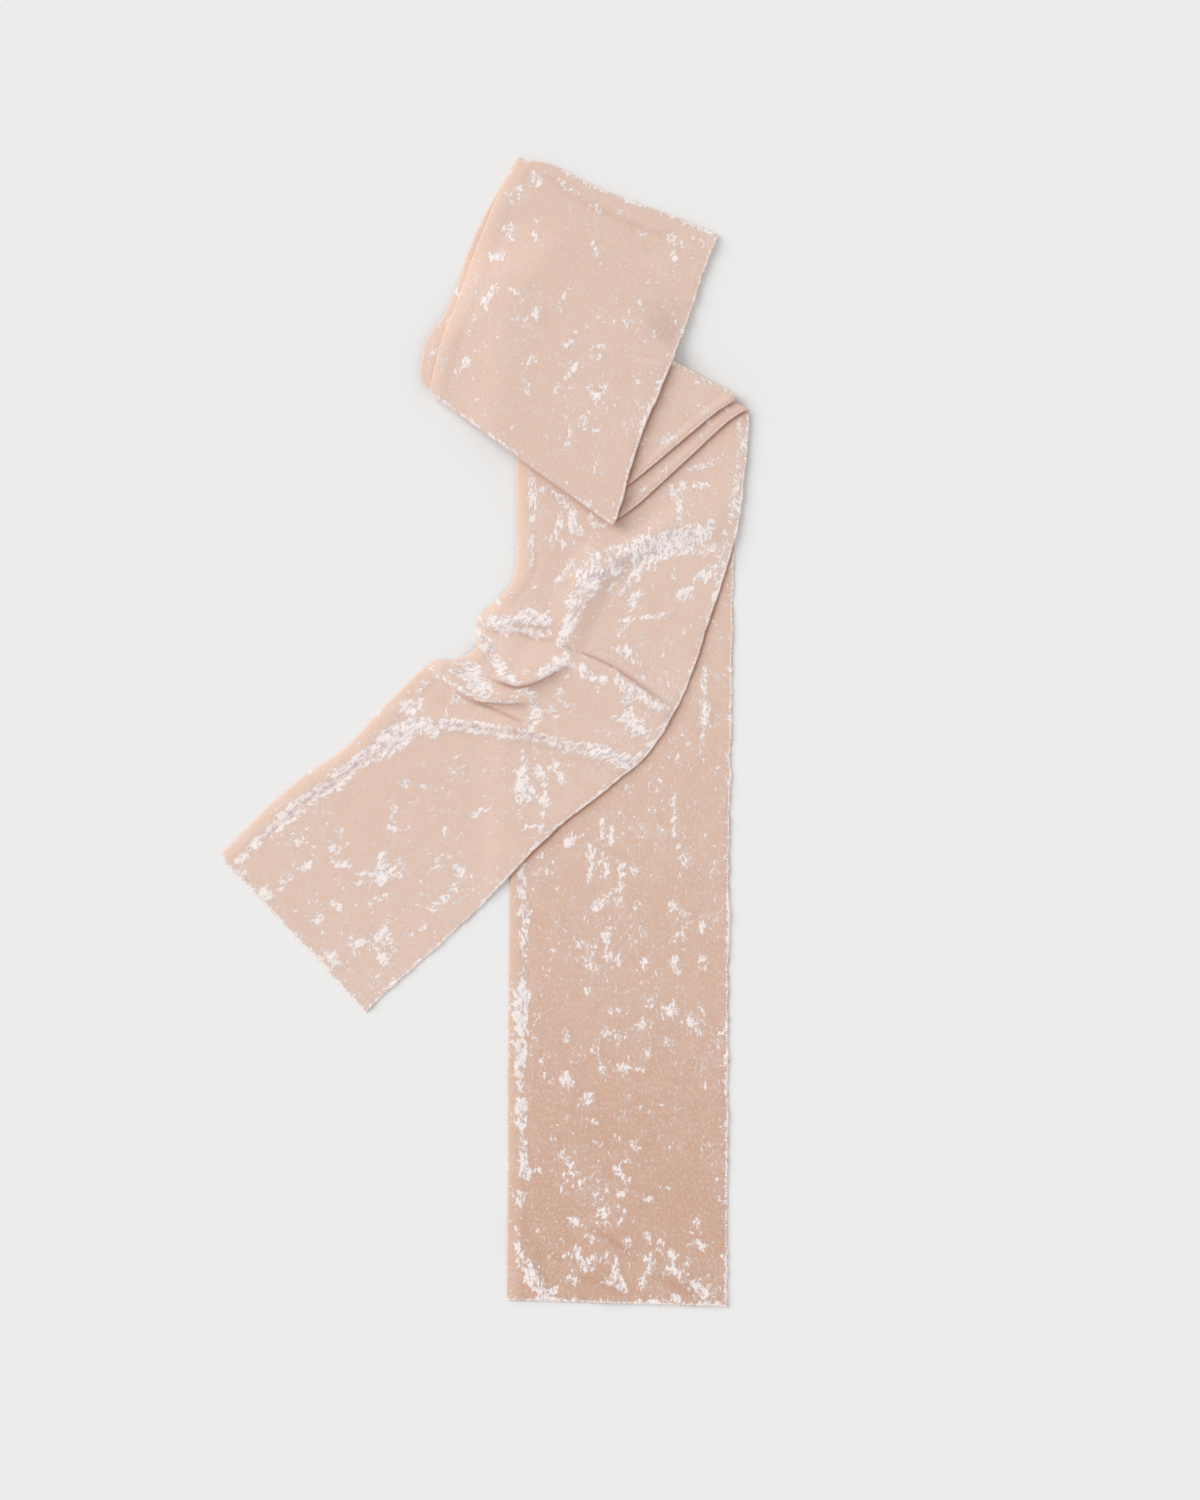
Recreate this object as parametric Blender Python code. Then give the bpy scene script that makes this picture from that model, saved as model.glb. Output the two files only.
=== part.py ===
"""A long velvet scarf laid flat: a seamed band, turned twice and doubled back, with two tails."""
import math
from collections import namedtuple

import bmesh
import bpy
from mathutils import Matrix

# Driving dimensions, in millimetres
BAND_WIDTH = 160.0
PLAIN_PITCH = 17.8
LOOP_PITCH = 11.4
GATHERED_PITCH = 6.15
WALL = 2.4
GAP = 0.3
LAYER = WALL + GAP
TO_METRES = 0.001

# Moves the plan so that the origin lies under the middle of the whole layout
PLAN_SHIFT = (-0.8, 0.05)

# Borders are rounded in steps: how far in each step lies, and the least share of the wall left
BORDER_STEPS = (0.0, 0.4, 1.2)
LEAST_SHARE = 0.4

# A fold of two layers is round with the inner radius, a fold of four with the outer one
INNER_FOLD = WALL + GAP / 2
OUTER_FOLD = 2 * WALL + 1.5 * GAP
NOSE_ANGLES = (30, 60, 90, 120, 150, 180)

# Cloth bridges an edge below it for the first length, then falls over the second
BRIDGE_OVER_TAIL = 7.0
FALL_OFF_TAIL = 14.0
BRIDGE_OVER_TAILS = 9.0
FALL_OFF_TAILS = 34.0
BRIDGE_OVER_TURN = 4.0
FALL_OFF_TURN = 46.0
FEEL_RADIUS = 7.0

# Under the turn and this close to it the short tail is pressed flat, and its gathers rise beyond
PRESSED_FLAT = 5.0
RISE_FROM_FLAT = 18.0

# Two layers that share a solid are parted at its sides by a groove
GROOVE_DEPTH = 1.2
GROOVE_HALF = 0.5

VELVET = (0.776, 0.580, 0.472, 1.0)
SHADED_VELVET = (0.700, 0.500, 0.395, 1.0)

# A section is one crossing of the band: its seam edge, its fold edge, and rows up to the next one
Section = namedtuple("Section", "seam fold rows")

LONG_TAIL = (
    Section(seam=(178.6, -422.6), fold=(17.0, -417.8), rows=5),
    Section(seam=(178.9, -385.0), fold=(17.2, -381.0), rows=4),
    Section(seam=(179.2, -344.3), fold=(17.6, -340.7), rows=2),
    Section(seam=(179.7, -197.3), fold=(18.1, -197.3), rows=2),
    Section(seam=(180.4, -101.8), fold=(19.0, -101.8), rows=3),
    Section(seam=(182.2, 23.2), fold=(20.6, 23.2), rows=3),
    Section(seam=(183.7, 126.1), fold=(22.8, 126.1), rows=2),
    Section(seam=(184.5, 192.2), fold=(25.0, 198.1), rows=3),
    Section(seam=(185.0, 240.6), fold=(44.7, 317.9), rows=0),
)

SHORT_TAIL = (
    Section(seam=(194.8, 235.6), fold=(42.6, 319.4), rows=3),
    Section(seam=(193.6, 203.2), fold=(32.3, 262.0), rows=4),
    Section(seam=(189.6, 170.2), fold=(24.3, 198.1), rows=4),
    Section(seam=(186.0, 147.4), fold=(24.3, 151.8), rows=5),
    Section(seam=(178.6, 121.6), fold=(22.8, 115.0), rows=6),
    Section(seam=(167.6, 85.6), fold=(10.0, 97.2), rows=6),
    Section(seam=(156.6, 52.6), fold=(-4.6, 82.6), rows=6),
    Section(seam=(141.9, 17.3), fold=(-5.0, 62.8), rows=6),
    Section(seam=(122.0, -15.1), fold=(-20.4, 52.8), rows=5),
    Section(seam=(94.1, -39.3), fold=(-36.4, 52.0), rows=5),
    Section(seam=(64.7, -62.1), fold=(-47.8, 43.4), rows=4),
    Section(seam=(27.2, -97.4), fold=(-72.8, 18.7), rows=3),
    Section(seam=(-2.9, -129.7), fold=(-102.2, -12.1), rows=3),
    Section(seam=(-25.7, -150.3), fold=(-134.5, -34.2), rows=3),
    Section(seam=(-62.5, -183.4), fold=(-170.5, -66.5), rows=3),
    Section(seam=(-86.7, -206.6), fold=(-194.4, -91.2), rows=0),
)

# The loop's own sections run from its crosswise fold at the top to the turn at the bottom
LOOP = (
    Section(seam=(171.0, 361.8), fold=(24.7, 419.8), rows=3),
    Section(seam=(161.7, 337.0), fold=(10.3, 393.6), rows=4),
    Section(seam=(149.9, 301.0), fold=(-1.5, 365.7), rows=5),
    Section(seam=(128.2, 245.9), fold=(-20.6, 313.5), rows=4),
    Section(seam=(116.4, 218.7), fold=(-31.6, 284.8), rows=5),
    Section(seam=(97.0, 154.7), fold=(-39.0, 253.2), rows=0),
)

# How far the lower layer of the loop peeps out past the upper one, at places counted in sections
Peep = namedtuple("Peep", "place reach")

PEEPS = (
    Peep(0.0, 1.0),
    Peep(1.0, 1.8),
    Peep(2.0, 5.5),
    Peep(3.0, 6.0),
    Peep(3.6, 5.0),
    Peep(4.0, 11.0),
    Peep(4.5, 10.0),
    Peep(5.0, 3.0),
)

# The two turned stretches show as wedges that narrow from the right-hand fold to the loop's nose
# Each row gives the point on the wedge's open edge and its point hidden under the loop
Wedge = namedtuple("Wedge", "edge hidden")

TURN_LOWER = (
    Wedge(edge=(193.6, 236.3), hidden=(127.5, 272.7)),
    Wedge(edge=(181.8, 229.0), hidden=(121.7, 257.8)),
    Wedge(edge=(169.8, 218.7), hidden=(115.8, 242.6)),
    Wedge(edge=(155.8, 205.4), hidden=(109.2, 225.7)),
    Wedge(edge=(141.5, 192.2), hidden=(102.8, 209.2)),
    Wedge(edge=(127.2, 179.0), hidden=(96.3, 192.6)),
    Wedge(edge=(113.0, 166.2), hidden=(90.4, 177.4)),
    Wedge(edge=(97.2, 154.9), hidden=(85.3, 163.6)),
)

TURN_UPPER = (
    Wedge(edge=(183.6, 241.8), hidden=(127.5, 272.7)),
    Wedge(edge=(174.9, 236.6), hidden=(122.5, 259.8)),
    Wedge(edge=(164.6, 228.9), hidden=(117.5, 247.0)),
    Wedge(edge=(150.7, 217.2), hidden=(111.5, 231.6)),
    Wedge(edge=(136.7, 205.4), hidden=(105.4, 215.9)),
    Wedge(edge=(122.7, 193.6), hidden=(99.3, 200.3)),
    Wedge(edge=(109.0, 182.6), hidden=(93.6, 185.6)),
    Wedge(edge=(96.0, 173.8), hidden=(88.8, 173.2)),
)

# The hidden stretches of the turn, one section at each of its folds
HIDDEN_TURN = (
    Section(seam=(127.1, 272.9), fold=(42.6, 319.4), rows=7),
    Section(seam=(84.8, 163.9), fold=(-38.8, 253.5), rows=0),
)

# The ground that the turn takes up, and the ground that the two tails take up below it
TURN_PLAN = ((197.0, 240.2), (45.0, 324.0), (-43.0, 254.0), (97.0, 148.0))
TAILS_PLAN = ((160.0, 60.0), (24.3, 60.0), (24.0, 198.0), (32.0, 262.0), (40.0, 324.5),
              (197.0, 240.0), (186.0, 147.0))

# A ridge runs along its points; it is steep on one side and gentle on the other
Ridge = namedtuple("Ridge", "points height left right")

GATHERS = (
    Ridge(points=((166.0, 152.0), (122.0, 146.0), (90.0, 123.0), (74.0, 98.0), (58.0, 64.0)),
          height=5.5, left=5.0, right=13.0),
    Ridge(points=((2.0, 82.0), (28.0, 82.0), (54.0, 78.0)), height=5.0, left=7.0, right=4.0),
    Ridge(points=((0.0, 44.0), (26.0, 37.0), (44.0, 42.0), (60.0, 50.0)),
          height=9.0, left=14.0, right=5.4),
    Ridge(points=((58.0, 60.0), (90.0, 46.0), (112.0, 32.0), (131.0, 18.0)),
          height=6.0, left=5.4, right=12.0),
    Ridge(points=((-30.0, 42.0), (-10.0, 27.0), (2.0, 24.0), (30.0, 22.0)),
          height=7.5, left=10.0, right=5.4),
    Ridge(points=((-40.0, 10.0), (-12.0, 6.0), (24.0, 0.0), (54.0, -8.0), (100.0, -24.0)),
          height=4.5, left=6.0, right=6.0),
    Ridge(points=((-14.0, 62.0), (-2.0, 54.0), (8.0, 44.0)), height=7.0, left=7.0, right=7.0),
)

HEM_WAVES = (
    Ridge(points=((88.0, -366.0), (126.0, -388.0), (160.0, -412.0)), height=2.0, left=9.0, right=12.0),
    Ridge(points=((60.0, -392.0), (84.0, -404.0), (104.0, -418.0)), height=1.8, left=8.0, right=11.0),
    Ridge(points=((22.0, -364.0), (34.0, -390.0), (42.0, -412.0)), height=1.6, left=6.0, right=9.0),
)


def clear_scene():
    for thing in list(bpy.data.objects):
        bpy.data.objects.remove(thing)


def mix(a, b, share):
    return tuple(p + (q - p) * share for p, q in zip(a, b))


def unit(vector):
    length = math.hypot(*vector)
    return tuple(p / length for p in vector)


def smooth_fall(distance, bridge, fall):
    """One over the bridged length, then an even S down to nothing."""
    share = min(max((distance - bridge) / fall, 0.0), 1.0)
    return 1.0 - share * share * (3.0 - 2.0 * share)


def nearest_on_line(point, start, end):
    run = (end[0] - start[0], end[1] - start[1])
    along = ((point[0] - start[0]) * run[0] + (point[1] - start[1]) * run[1]) / (run[0] ** 2 + run[1] ** 2)
    along = min(max(along, 0.0), 1.0)
    return along, mix(start, end, along)


def outside(point, plan):
    """Distance from a plan outline, nothing inside it, and the nearest point that the plan covers."""
    inside = False
    best = None
    for start, end in zip(plan, plan[1:] + plan[:1]):
        if (start[1] > point[1]) != (end[1] > point[1]):
            crossing = start[0] + (point[1] - start[1]) / (end[1] - start[1]) * (end[0] - start[0])
            inside = inside != (point[0] < crossing)
        spot = nearest_on_line(point, start, end)[1]
        distance = math.dist(point, spot)
        if best is None or distance < best[0]:
            best = (distance, spot)
    return (0.0, point) if inside else best


def ridge_height(point, ridge):
    """Height of one ridge at a point: it swells from both ends and has its own width on each side."""
    best = None
    spans = len(ridge.points) - 1
    for index in range(spans):
        start = ridge.points[index]
        end = ridge.points[index + 1]
        along, spot = nearest_on_line(point, start, end)
        distance = math.dist(point, spot)
        if best is None or distance < best[0]:
            run = unit((end[0] - start[0], end[1] - start[1]))
            offset = run[0] * (point[1] - start[1]) - run[1] * (point[0] - start[0])
            best = (distance, (index + along) / spans, offset / max(distance, 0.001))
    distance, place, leftness = best
    width = mix((ridge.right,), (ridge.left,), (1.0 + leftness) / 2.0)[0]
    share = min(distance / (2.0 * width), 1.0)
    swell = math.sin(math.pi * min(max(0.12 + 0.76 * place, 0.0), 1.0)) ** 0.8
    return ridge.height * swell * (1.0 - share * share * (3.0 - 2.0 * share))


def folds_height(point, ridges):
    """Several ridges together, the tallest leading."""
    return sum(ridge_height(point, ridge) ** 3 for ridge in ridges) ** (1.0 / 3.0)


def spline(values, place):
    """A smooth curve through a list of points, at a place counted in points."""
    index = min(int(place), len(values) - 2)
    share = place - index
    before = values[max(index - 1, 0)]
    start = values[index]
    end = values[index + 1]
    after = values[min(index + 2, len(values) - 1)]
    result = []
    for a, b, c, d in zip(before, start, end, after):
        value = 2 * b + (c - a) * share
        value += (2 * a - 5 * b + 4 * c - d) * share ** 2
        value += (3 * b - a - 3 * c + d) * share ** 3
        result.append(value / 2)
    return tuple(result)


def section_places(sections):
    """Where the rows lie, counted in sections: closer together where a section asks for more."""
    places = []
    for index, section in enumerate(sections[:-1]):
        places += [index + step / section.rows for step in range(section.rows)]
    return places + [len(sections) - 1]


def section_rows(sections):
    """Crossings of the band, from its fold edge to its seam edge."""
    seams = [section.seam for section in sections]
    folds = [section.fold for section in sections]
    return [(spline(folds, place), spline(seams, place)) for place in section_places(sections)]


def peep_reach(place):
    """How far the loop's lower layer peeps out at a place counted in sections."""
    for start, end in zip(PEEPS, PEEPS[1:]):
        if place <= end.place:
            share = (place - start.place) / (end.place - start.place)
            return start.reach + (end.reach - start.reach) * share
    return PEEPS[-1].reach


def even_columns(pitch, band=BAND_WIDTH):
    """Distances across a stretch: rounding steps at both borders, columns about a pitch apart between."""
    count = round(band / pitch)

    def across(width):
        last = BORDER_STEPS[-1]
        inner = [last + (width - 2 * last) * step / count for step in range(1, count)]
        return list(BORDER_STEPS) + inner + [width - step for step in reversed(BORDER_STEPS)]
    return across


def peeping_columns(pitch, reach):
    """The same columns, but the band starts further out by a reach."""
    def across(width):
        own = [step - reach for step in BORDER_STEPS]
        return own + even_columns(pitch)(width)[len(BORDER_STEPS) - 1:]
    return across


def border_share(distance):
    """Share of the wall's thickness at a distance from a rounded border."""
    radius = BORDER_STEPS[-1]
    depth = 1.0 - min(distance / radius, 1.0)
    return max(LEAST_SHARE, math.sqrt(1.0 - depth * depth))


def squeeze(low, high, share, towards=0.5):
    """Thins a wall to a share of itself about a level between its low and high side."""
    middle = low + (high - low) * towards
    return middle + (low - middle) * share, middle + (high - middle) * share


def body_row(left, right, across, low, high, share=1.0, towards=0.5):
    """One row of outer and inner points across the band, between two heights given as functions."""
    outer = []
    inner = []
    distances = across(math.dist(left, right))
    for distance in distances:
        x, y = mix(left, right, distance / distances[-1])
        border = border_share(min(distance - distances[0], distances[-1] - distance))
        bottom, top = squeeze(low((x, y)), high((x, y)), border)
        bottom, top = squeeze(bottom, top, share, towards)
        outer.append((x, y, top))
        inner.append((x, y, bottom))
    return outer, inner


def away(left, right, inward_row):
    """Unit direction across a fold line, pointing away from the row before it."""
    line = unit((right[0] - left[0], right[1] - left[1]))
    normal = (-line[1], line[0])
    middle = mix(left, right, 0.5)
    before = mix(inward_row[0], inward_row[1], 0.5)
    towards = (before[0] - middle[0]) * normal[0] + (before[1] - middle[1]) * normal[1]
    return (-normal[0], -normal[1]) if towards > 0 else normal


def shifted(point, direction, distance):
    return (point[0] + direction[0] * distance, point[1] + direction[1] * distance)


def hem_rows(left, right, direction, across, low, high):
    """A rounded end: three rows that thin towards the hem."""
    rows = []
    for step in reversed(BORDER_STEPS):
        ends = [shifted(corner, direction, -step) for corner in (left, right)]
        rows.append(body_row(*ends, across, low, high, share=border_share(step)))
    return rows


def half_fold_rows(left, right, direction, across, low, high, towards):
    """Half of a fold of two layers: the wall ends in a quarter round at its middle level."""
    rows = []
    for angle in (0, 30, 55, 80):
        reach = INNER_FOLD * math.sin(math.radians(angle))
        ends = [shifted(corner, direction, reach) for corner in (left, right)]
        rows.append(body_row(*ends, across, low, high, math.cos(math.radians(angle)), towards))
    return rows


def nose_rows(left, right, direction, across, high):
    """The outer wall of a fold of four layers, carried round and down to the lowest one."""
    middle = OUTER_FOLD - WALL / 2
    distances = across(math.dist(left, right))
    width = distances[-1]
    rows = []
    for angle in NOSE_ANGLES:
        reach = math.sin(math.radians(angle))
        rise = math.cos(math.radians(angle))
        outer = []
        inner = []
        for distance in distances:
            spot = mix(left, right, distance / width)
            centre = high(spot) - OUTER_FOLD
            half_wall = WALL / 2 * border_share(min(distance, width - distance))
            for side, radius in ((outer, middle + half_wall), (inner, middle - half_wall)):
                x, y = shifted(spot, direction, radius * reach)
                side.append((x, y, centre + radius * rise))
        rows.append((outer, inner))
    return rows


def material(name, colour):
    finish = bpy.data.materials.new(name)
    finish.use_nodes = True
    shader = finish.node_tree.nodes["Principled BSDF"]
    shader.inputs["Base Color"].default_value = colour
    shader.inputs["Roughness"].default_value = 0.75
    shader.inputs["Metallic"].default_value = 0.0
    shader.inputs["Sheen Weight"].default_value = 0.6
    return finish


def closed_wall(name, rows, colour, groove=False):
    """A closed solid from rows of outer and inner points, its four sides joined by walls."""
    mesh = bmesh.new()
    outer = [[mesh.verts.new(point) for point in row[0]] for row in rows]
    inner = [[mesh.verts.new(point) for point in row[1]] for row in rows]
    last_row = len(rows) - 1
    last_column = len(rows[0][0]) - 1

    def patch(a, b, c, d):
        mesh.faces.new((a, b, c))
        mesh.faces.new((a, c, d))

    for i in range(last_row):
        for j in range(last_column):
            patch(outer[i][j], outer[i][j + 1], outer[i + 1][j + 1], outer[i + 1][j])
            patch(inner[i][j], inner[i + 1][j], inner[i + 1][j + 1], inner[i][j + 1])

    ring = [(0, j) for j in range(last_column)]
    ring += [(i, last_column) for i in range(last_row)]
    ring += [(last_row, j) for j in range(last_column, 0, -1)]
    ring += [(i, 0) for i in range(last_row, 0, -1)]
    side = []
    for i, j in ring:
        stack = [inner[i][j]]
        if groove:
            stack += groove_points(mesh, rows, i, j, last_row, last_column)
        side.append(stack + [outer[i][j]])
    for index, stack in enumerate(side):
        following = side[(index + 1) % len(side)]
        for level in range(len(stack) - 1):
            patch(stack[level], following[level], following[level + 1], stack[level + 1])

    bmesh.ops.recalc_face_normals(mesh, faces=mesh.faces)
    data = bpy.data.meshes.new(name)
    mesh.to_mesh(data)
    mesh.free()
    data.transform(Matrix.Scale(TO_METRES, 4) @ Matrix.Translation((*PLAN_SHIFT, 0.0)))
    data.shade_smooth()
    data.set_sharp_from_angle(angle=math.radians(40))
    thing = bpy.data.objects.new(name, data)
    thing.data.materials.append(material(name + "_velvet", colour))
    bpy.context.scene.collection.objects.link(thing)
    return thing


def groove_points(mesh, rows, i, j, last_row, last_column):
    """A groove at half height between two layers that share one solid."""
    outer = rows[i][0][j]
    inner = rows[i][1][j]
    inward = rows[min(max(i, 1), last_row - 1)][0][min(max(j, 1), last_column - 1)]
    middle = (outer[2] + inner[2]) / 2
    direction = unit((inward[0] - outer[0], inward[1] - outer[1]))
    points = []
    for level, depth in ((-GROOVE_HALF, 0.0), (0.0, GROOVE_DEPTH), (GROOVE_HALF, 0.0)):
        x, y = shifted(outer[:2], direction, depth)
        points.append(mesh.verts.new((x, y, middle + level)))
    return points


def under_long_tail(point):
    return folds_height(point, HEM_WAVES)


def over_long_tail(point):
    return under_long_tail(point) + WALL


LONG_TAIL_PLAN = tuple(s.seam for s in LONG_TAIL) + tuple(s.fold for s in reversed(LONG_TAIL))


def under_short_tail(point):
    distance = outside(point, LONG_TAIL_PLAN)[0]
    return LAYER * smooth_fall(distance, BRIDGE_OVER_TAIL, FALL_OFF_TAIL)


def over_short_tail(point):
    """The gathers die away towards the turn, which lies on the tail and presses it flat."""
    freedom = 1.0 - smooth_fall(outside(point, TURN_PLAN)[0], PRESSED_FLAT, RISE_FROM_FLAT)
    return under_short_tail(point) + folds_height(point, GATHERS) * freedom + WALL


def low_short_tail(point):
    """The wall keeps its thickness on a slope, so its underside is lower there, but not too low."""
    step = 1.0
    rise_x = over_short_tail(shifted(point, (1, 0), step)) - over_short_tail(shifted(point, (-1, 0), step))
    rise_y = over_short_tail(shifted(point, (0, 1), step)) - over_short_tail(shifted(point, (0, -1), step))
    slope = math.hypot(rise_x, rise_y) / (2 * step)
    upright = WALL * min(math.hypot(1.0, slope), 1.6)
    return max(under_short_tail(point), over_short_tail(point) - upright)


def under_turn(point):
    return 2 * LAYER * smooth_fall(outside(point, TAILS_PLAN)[0], BRIDGE_OVER_TAILS, FALL_OFF_TAILS)


def under_loop(point):
    """The highest ground felt round a point, so that flat facets never cut what lies below."""
    highest = 0.0
    for turn in range(9):
        reach = 0.0 if turn == 8 else FEEL_RADIUS
        angle = math.radians(45 * turn)
        feeler = shifted(point, (math.cos(angle), math.sin(angle)), reach)
        distance, spot = outside(feeler, TURN_PLAN)
        ground = under_turn(spot) + 2 * LAYER
        highest = max(highest, ground * smooth_fall(distance, BRIDGE_OVER_TURN, FALL_OFF_TURN))
    return highest


def raised(base, lift):
    return lambda point: base(point) + lift


def build_long_tail():
    rows = section_rows(LONG_TAIL)
    across = even_columns(PLAIN_PITCH)
    start = away(*rows[0], rows[1])
    result = hem_rows(*rows[0], start, across, under_long_tail, over_long_tail)[::-1]
    result += [body_row(*row, across, under_long_tail, over_long_tail) for row in rows[1:]]
    closed_wall("long_tail", result, VELVET)


def build_short_tail():
    rows = section_rows(SHORT_TAIL)
    across = even_columns(GATHERED_PITCH)
    start = away(*rows[0], rows[1])
    end = away(*rows[-1], rows[-2])
    result = half_fold_rows(*rows[0], start, across, low_short_tail, over_short_tail, 1.0)[::-1]
    result += [body_row(*row, across, low_short_tail, over_short_tail) for row in rows[1:-1]]
    result += hem_rows(*rows[-1], end, across, low_short_tail, over_short_tail)
    closed_wall("short_tail", result, VELVET)


def wedge_rows(wedges):
    return [(wedge.hidden, wedge.edge) for wedge in wedges]


def build_turn_lower():
    rows = wedge_rows(TURN_LOWER)
    across = even_columns(PLAIN_PITCH, band=math.dist(*rows[0]) * 0.7)
    start = away(*rows[0], rows[1])
    low = under_turn
    high = raised(under_turn, WALL)
    result = half_fold_rows(*rows[0], start, across, low, high, 0.0)[::-1]
    result += [body_row(*row, across, low, high) for row in rows[1:]]
    closed_wall("turn_lower", result, SHADED_VELVET)


def build_turn_upper():
    rows = wedge_rows(TURN_UPPER)
    across = even_columns(PLAIN_PITCH, band=math.dist(*rows[0]))
    start = away(*rows[0], rows[1])
    low = raised(under_turn, LAYER)
    high = raised(under_turn, LAYER + WALL)
    result = nose_rows(*rows[0], start, across, high)[::-1]
    result += [body_row(*row, across, low, high) for row in rows]
    closed_wall("turn_upper", result, VELVET)


def build_hidden_turn():
    rows = section_rows(HIDDEN_TURN)
    across = even_columns(PLAIN_PITCH)
    high = raised(under_turn, LAYER + WALL)
    result = [body_row(*row, across, under_turn, high) for row in rows]
    closed_wall("hidden_turn", result, SHADED_VELVET, groove=True)


def build_loop():
    rows = section_rows(LOOP)
    across = even_columns(LOOP_PITCH)
    start = away(*rows[0], rows[1])
    end = away(*rows[-1], rows[-2])

    low = raised(under_loop, LAYER)
    high = raised(under_loop, LAYER + WALL)
    front = half_fold_rows(*rows[0], start, across, low, high, 0.0)[::-1]
    front += [body_row(*row, across, low, high) for row in rows[1:]]
    front += nose_rows(*rows[-1], end, across, high)
    closed_wall("loop_front", front, VELVET)

    high = raised(under_loop, WALL)
    places = section_places(LOOP)
    peeping = [peeping_columns(LOOP_PITCH, peep_reach(place)) for place in places]
    back = half_fold_rows(*rows[0], start, peeping[0], under_loop, high, 1.0)[::-1]
    for row, columns in zip(rows[1:-1], peeping[1:-1]):
        back.append(body_row(*row, columns, under_loop, high))
    back += half_fold_rows(*rows[-1], end, peeping[-1], under_loop, high, 0.0)
    closed_wall("loop_back", back, SHADED_VELVET)


clear_scene()
build_long_tail()
build_short_tail()
build_turn_lower()
build_turn_upper()
build_hidden_turn()
build_loop()
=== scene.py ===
# %% [markdown]
# # A velvet scarf laid flat
#
# The scarf is one long band: a rectangle of peach crushed velvet, folded lengthwise with
# the pile outside and sewn into a flat tube. It is laid down with one straight tail, turned
# at the top, doubled back over itself into a loop, and its second tail runs down to the left
# with gathers where it bends. This lesson loads the measured frame first, then builds the
# cloth stretch by stretch, gives it a crushed velvet finish, and lights it from above.

# %% The frame
import math
from collections import namedtuple

import bmesh
import bpy
import numpy as np
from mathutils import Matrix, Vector


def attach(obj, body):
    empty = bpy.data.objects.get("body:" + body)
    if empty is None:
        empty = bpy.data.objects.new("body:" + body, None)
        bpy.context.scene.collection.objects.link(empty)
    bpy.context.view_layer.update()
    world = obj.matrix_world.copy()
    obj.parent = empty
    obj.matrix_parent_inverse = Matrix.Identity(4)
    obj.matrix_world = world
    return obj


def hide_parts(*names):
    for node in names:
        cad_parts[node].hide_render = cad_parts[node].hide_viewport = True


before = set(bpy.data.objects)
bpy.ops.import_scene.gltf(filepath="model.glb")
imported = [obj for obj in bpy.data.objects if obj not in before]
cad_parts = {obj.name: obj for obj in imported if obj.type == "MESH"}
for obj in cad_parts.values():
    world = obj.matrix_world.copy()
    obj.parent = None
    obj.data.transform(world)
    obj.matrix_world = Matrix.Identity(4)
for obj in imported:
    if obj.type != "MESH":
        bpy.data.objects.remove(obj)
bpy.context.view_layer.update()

print("nodes in the frame:", sorted(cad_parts))

# %% [markdown]
# ## Sizes of the cloth
#
# The band is 160 mm wide, and its two plies of velvet lie 2.4 mm thick. Layers of the layout
# are 2.7 mm apart, with a breath of air between them. A fold edge is a round roll, while the
# seam edge is thinner. All sizes are in millimetres and turned into metres at the very end,
# when a mesh is written.

# %% Sizes
MILLIMETRE = 0.001
BAND_WIDTH = 160.0
BAND_ROUND = 2 * BAND_WIDTH
WALL = 2.4
GAP = 0.3
LAYER = WALL + GAP
INNER_FOLD = WALL + GAP / 2
OUTER_FOLD = 2 * WALL + 1.5 * GAP
print("layer pitch", LAYER, "mm, band", BAND_WIDTH, "mm")

# %% [markdown]
# ## Where the band lies
#
# A section is one crossing of the band, from its seam edge to its fold edge. A smooth curve
# through the sections gives as many rows of cloth as a mesh needs. The turned stretches show
# only as wedges, so their sections end at the line that the loop hides. A ridge is one gather:
# a smooth crest with a steep side and a gentle one, leaning over its steep side.

# %% Sections and plans
Section = namedtuple("Section", "seam fold")


def spots_of(numbers):
    return tuple(zip(numbers[::2], numbers[1::2]))


def sections(*rows):
    """Sections from rows of four numbers: the seam edge's x and y, then the fold edge's."""
    return tuple(Section(*spots_of(row)) for row in rows)


def plan_of(stretch):
    """Outline of a stretch: along its seam edge, and back along its fold edge."""
    return tuple(s.seam for s in stretch) + tuple(s.fold for s in reversed(stretch))


print("a plan has", len(plan_of(sections((0, 0, 0, 1), (1, 0, 1, 1)))), "corners for two sections")

# %% Sections of the long stretches
LONG_TAIL = sections(
    (178.6, -422.6, 17.0, -417.8), (178.9, -385.0, 17.2, -381.0), (179.2, -344.3, 17.6, -340.7),
    (179.7, -197.3, 18.1, -197.3), (180.4, -101.8, 19.0, -101.8), (182.2, 23.2, 21.4, 23.2),
    (183.7, 126.1, 24.9, 126.1), (184.5, 192.2, 26.9, 198.1), (185.0, 240.6, 46.0, 317.9),
)
SHORT_TAIL = sections(
    (194.8, 235.6, 42.6, 319.4), (193.6, 203.2, 32.3, 262.0), (189.6, 170.2, 24.3, 198.1),
    (186.0, 147.4, 24.3, 151.8), (178.6, 121.6, 22.8, 115.0), (167.6, 85.6, 10.0, 97.2),
    (156.6, 52.6, -4.6, 82.6), (141.9, 17.3, -5.0, 62.8), (122.0, -15.1, -20.4, 52.8),
    (94.1, -39.3, -36.4, 52.0), (64.7, -62.1, -47.8, 43.4), (27.2, -97.4, -72.8, 18.7),
    (-2.9, -129.7, -102.2, -12.1), (-25.7, -150.3, -134.5, -34.2), (-62.5, -183.4, -170.5, -66.5),
    (-86.7, -206.6, -194.4, -91.2),
)
LOOP = sections(
    (171.0, 361.8, 24.7, 419.8), (161.7, 337.0, 10.3, 393.6), (149.9, 301.0, -1.5, 365.7),
    (128.2, 245.9, -20.6, 313.5), (116.4, 218.7, -31.6, 284.8), (97.0, 154.7, -39.0, 253.2),
)
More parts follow.
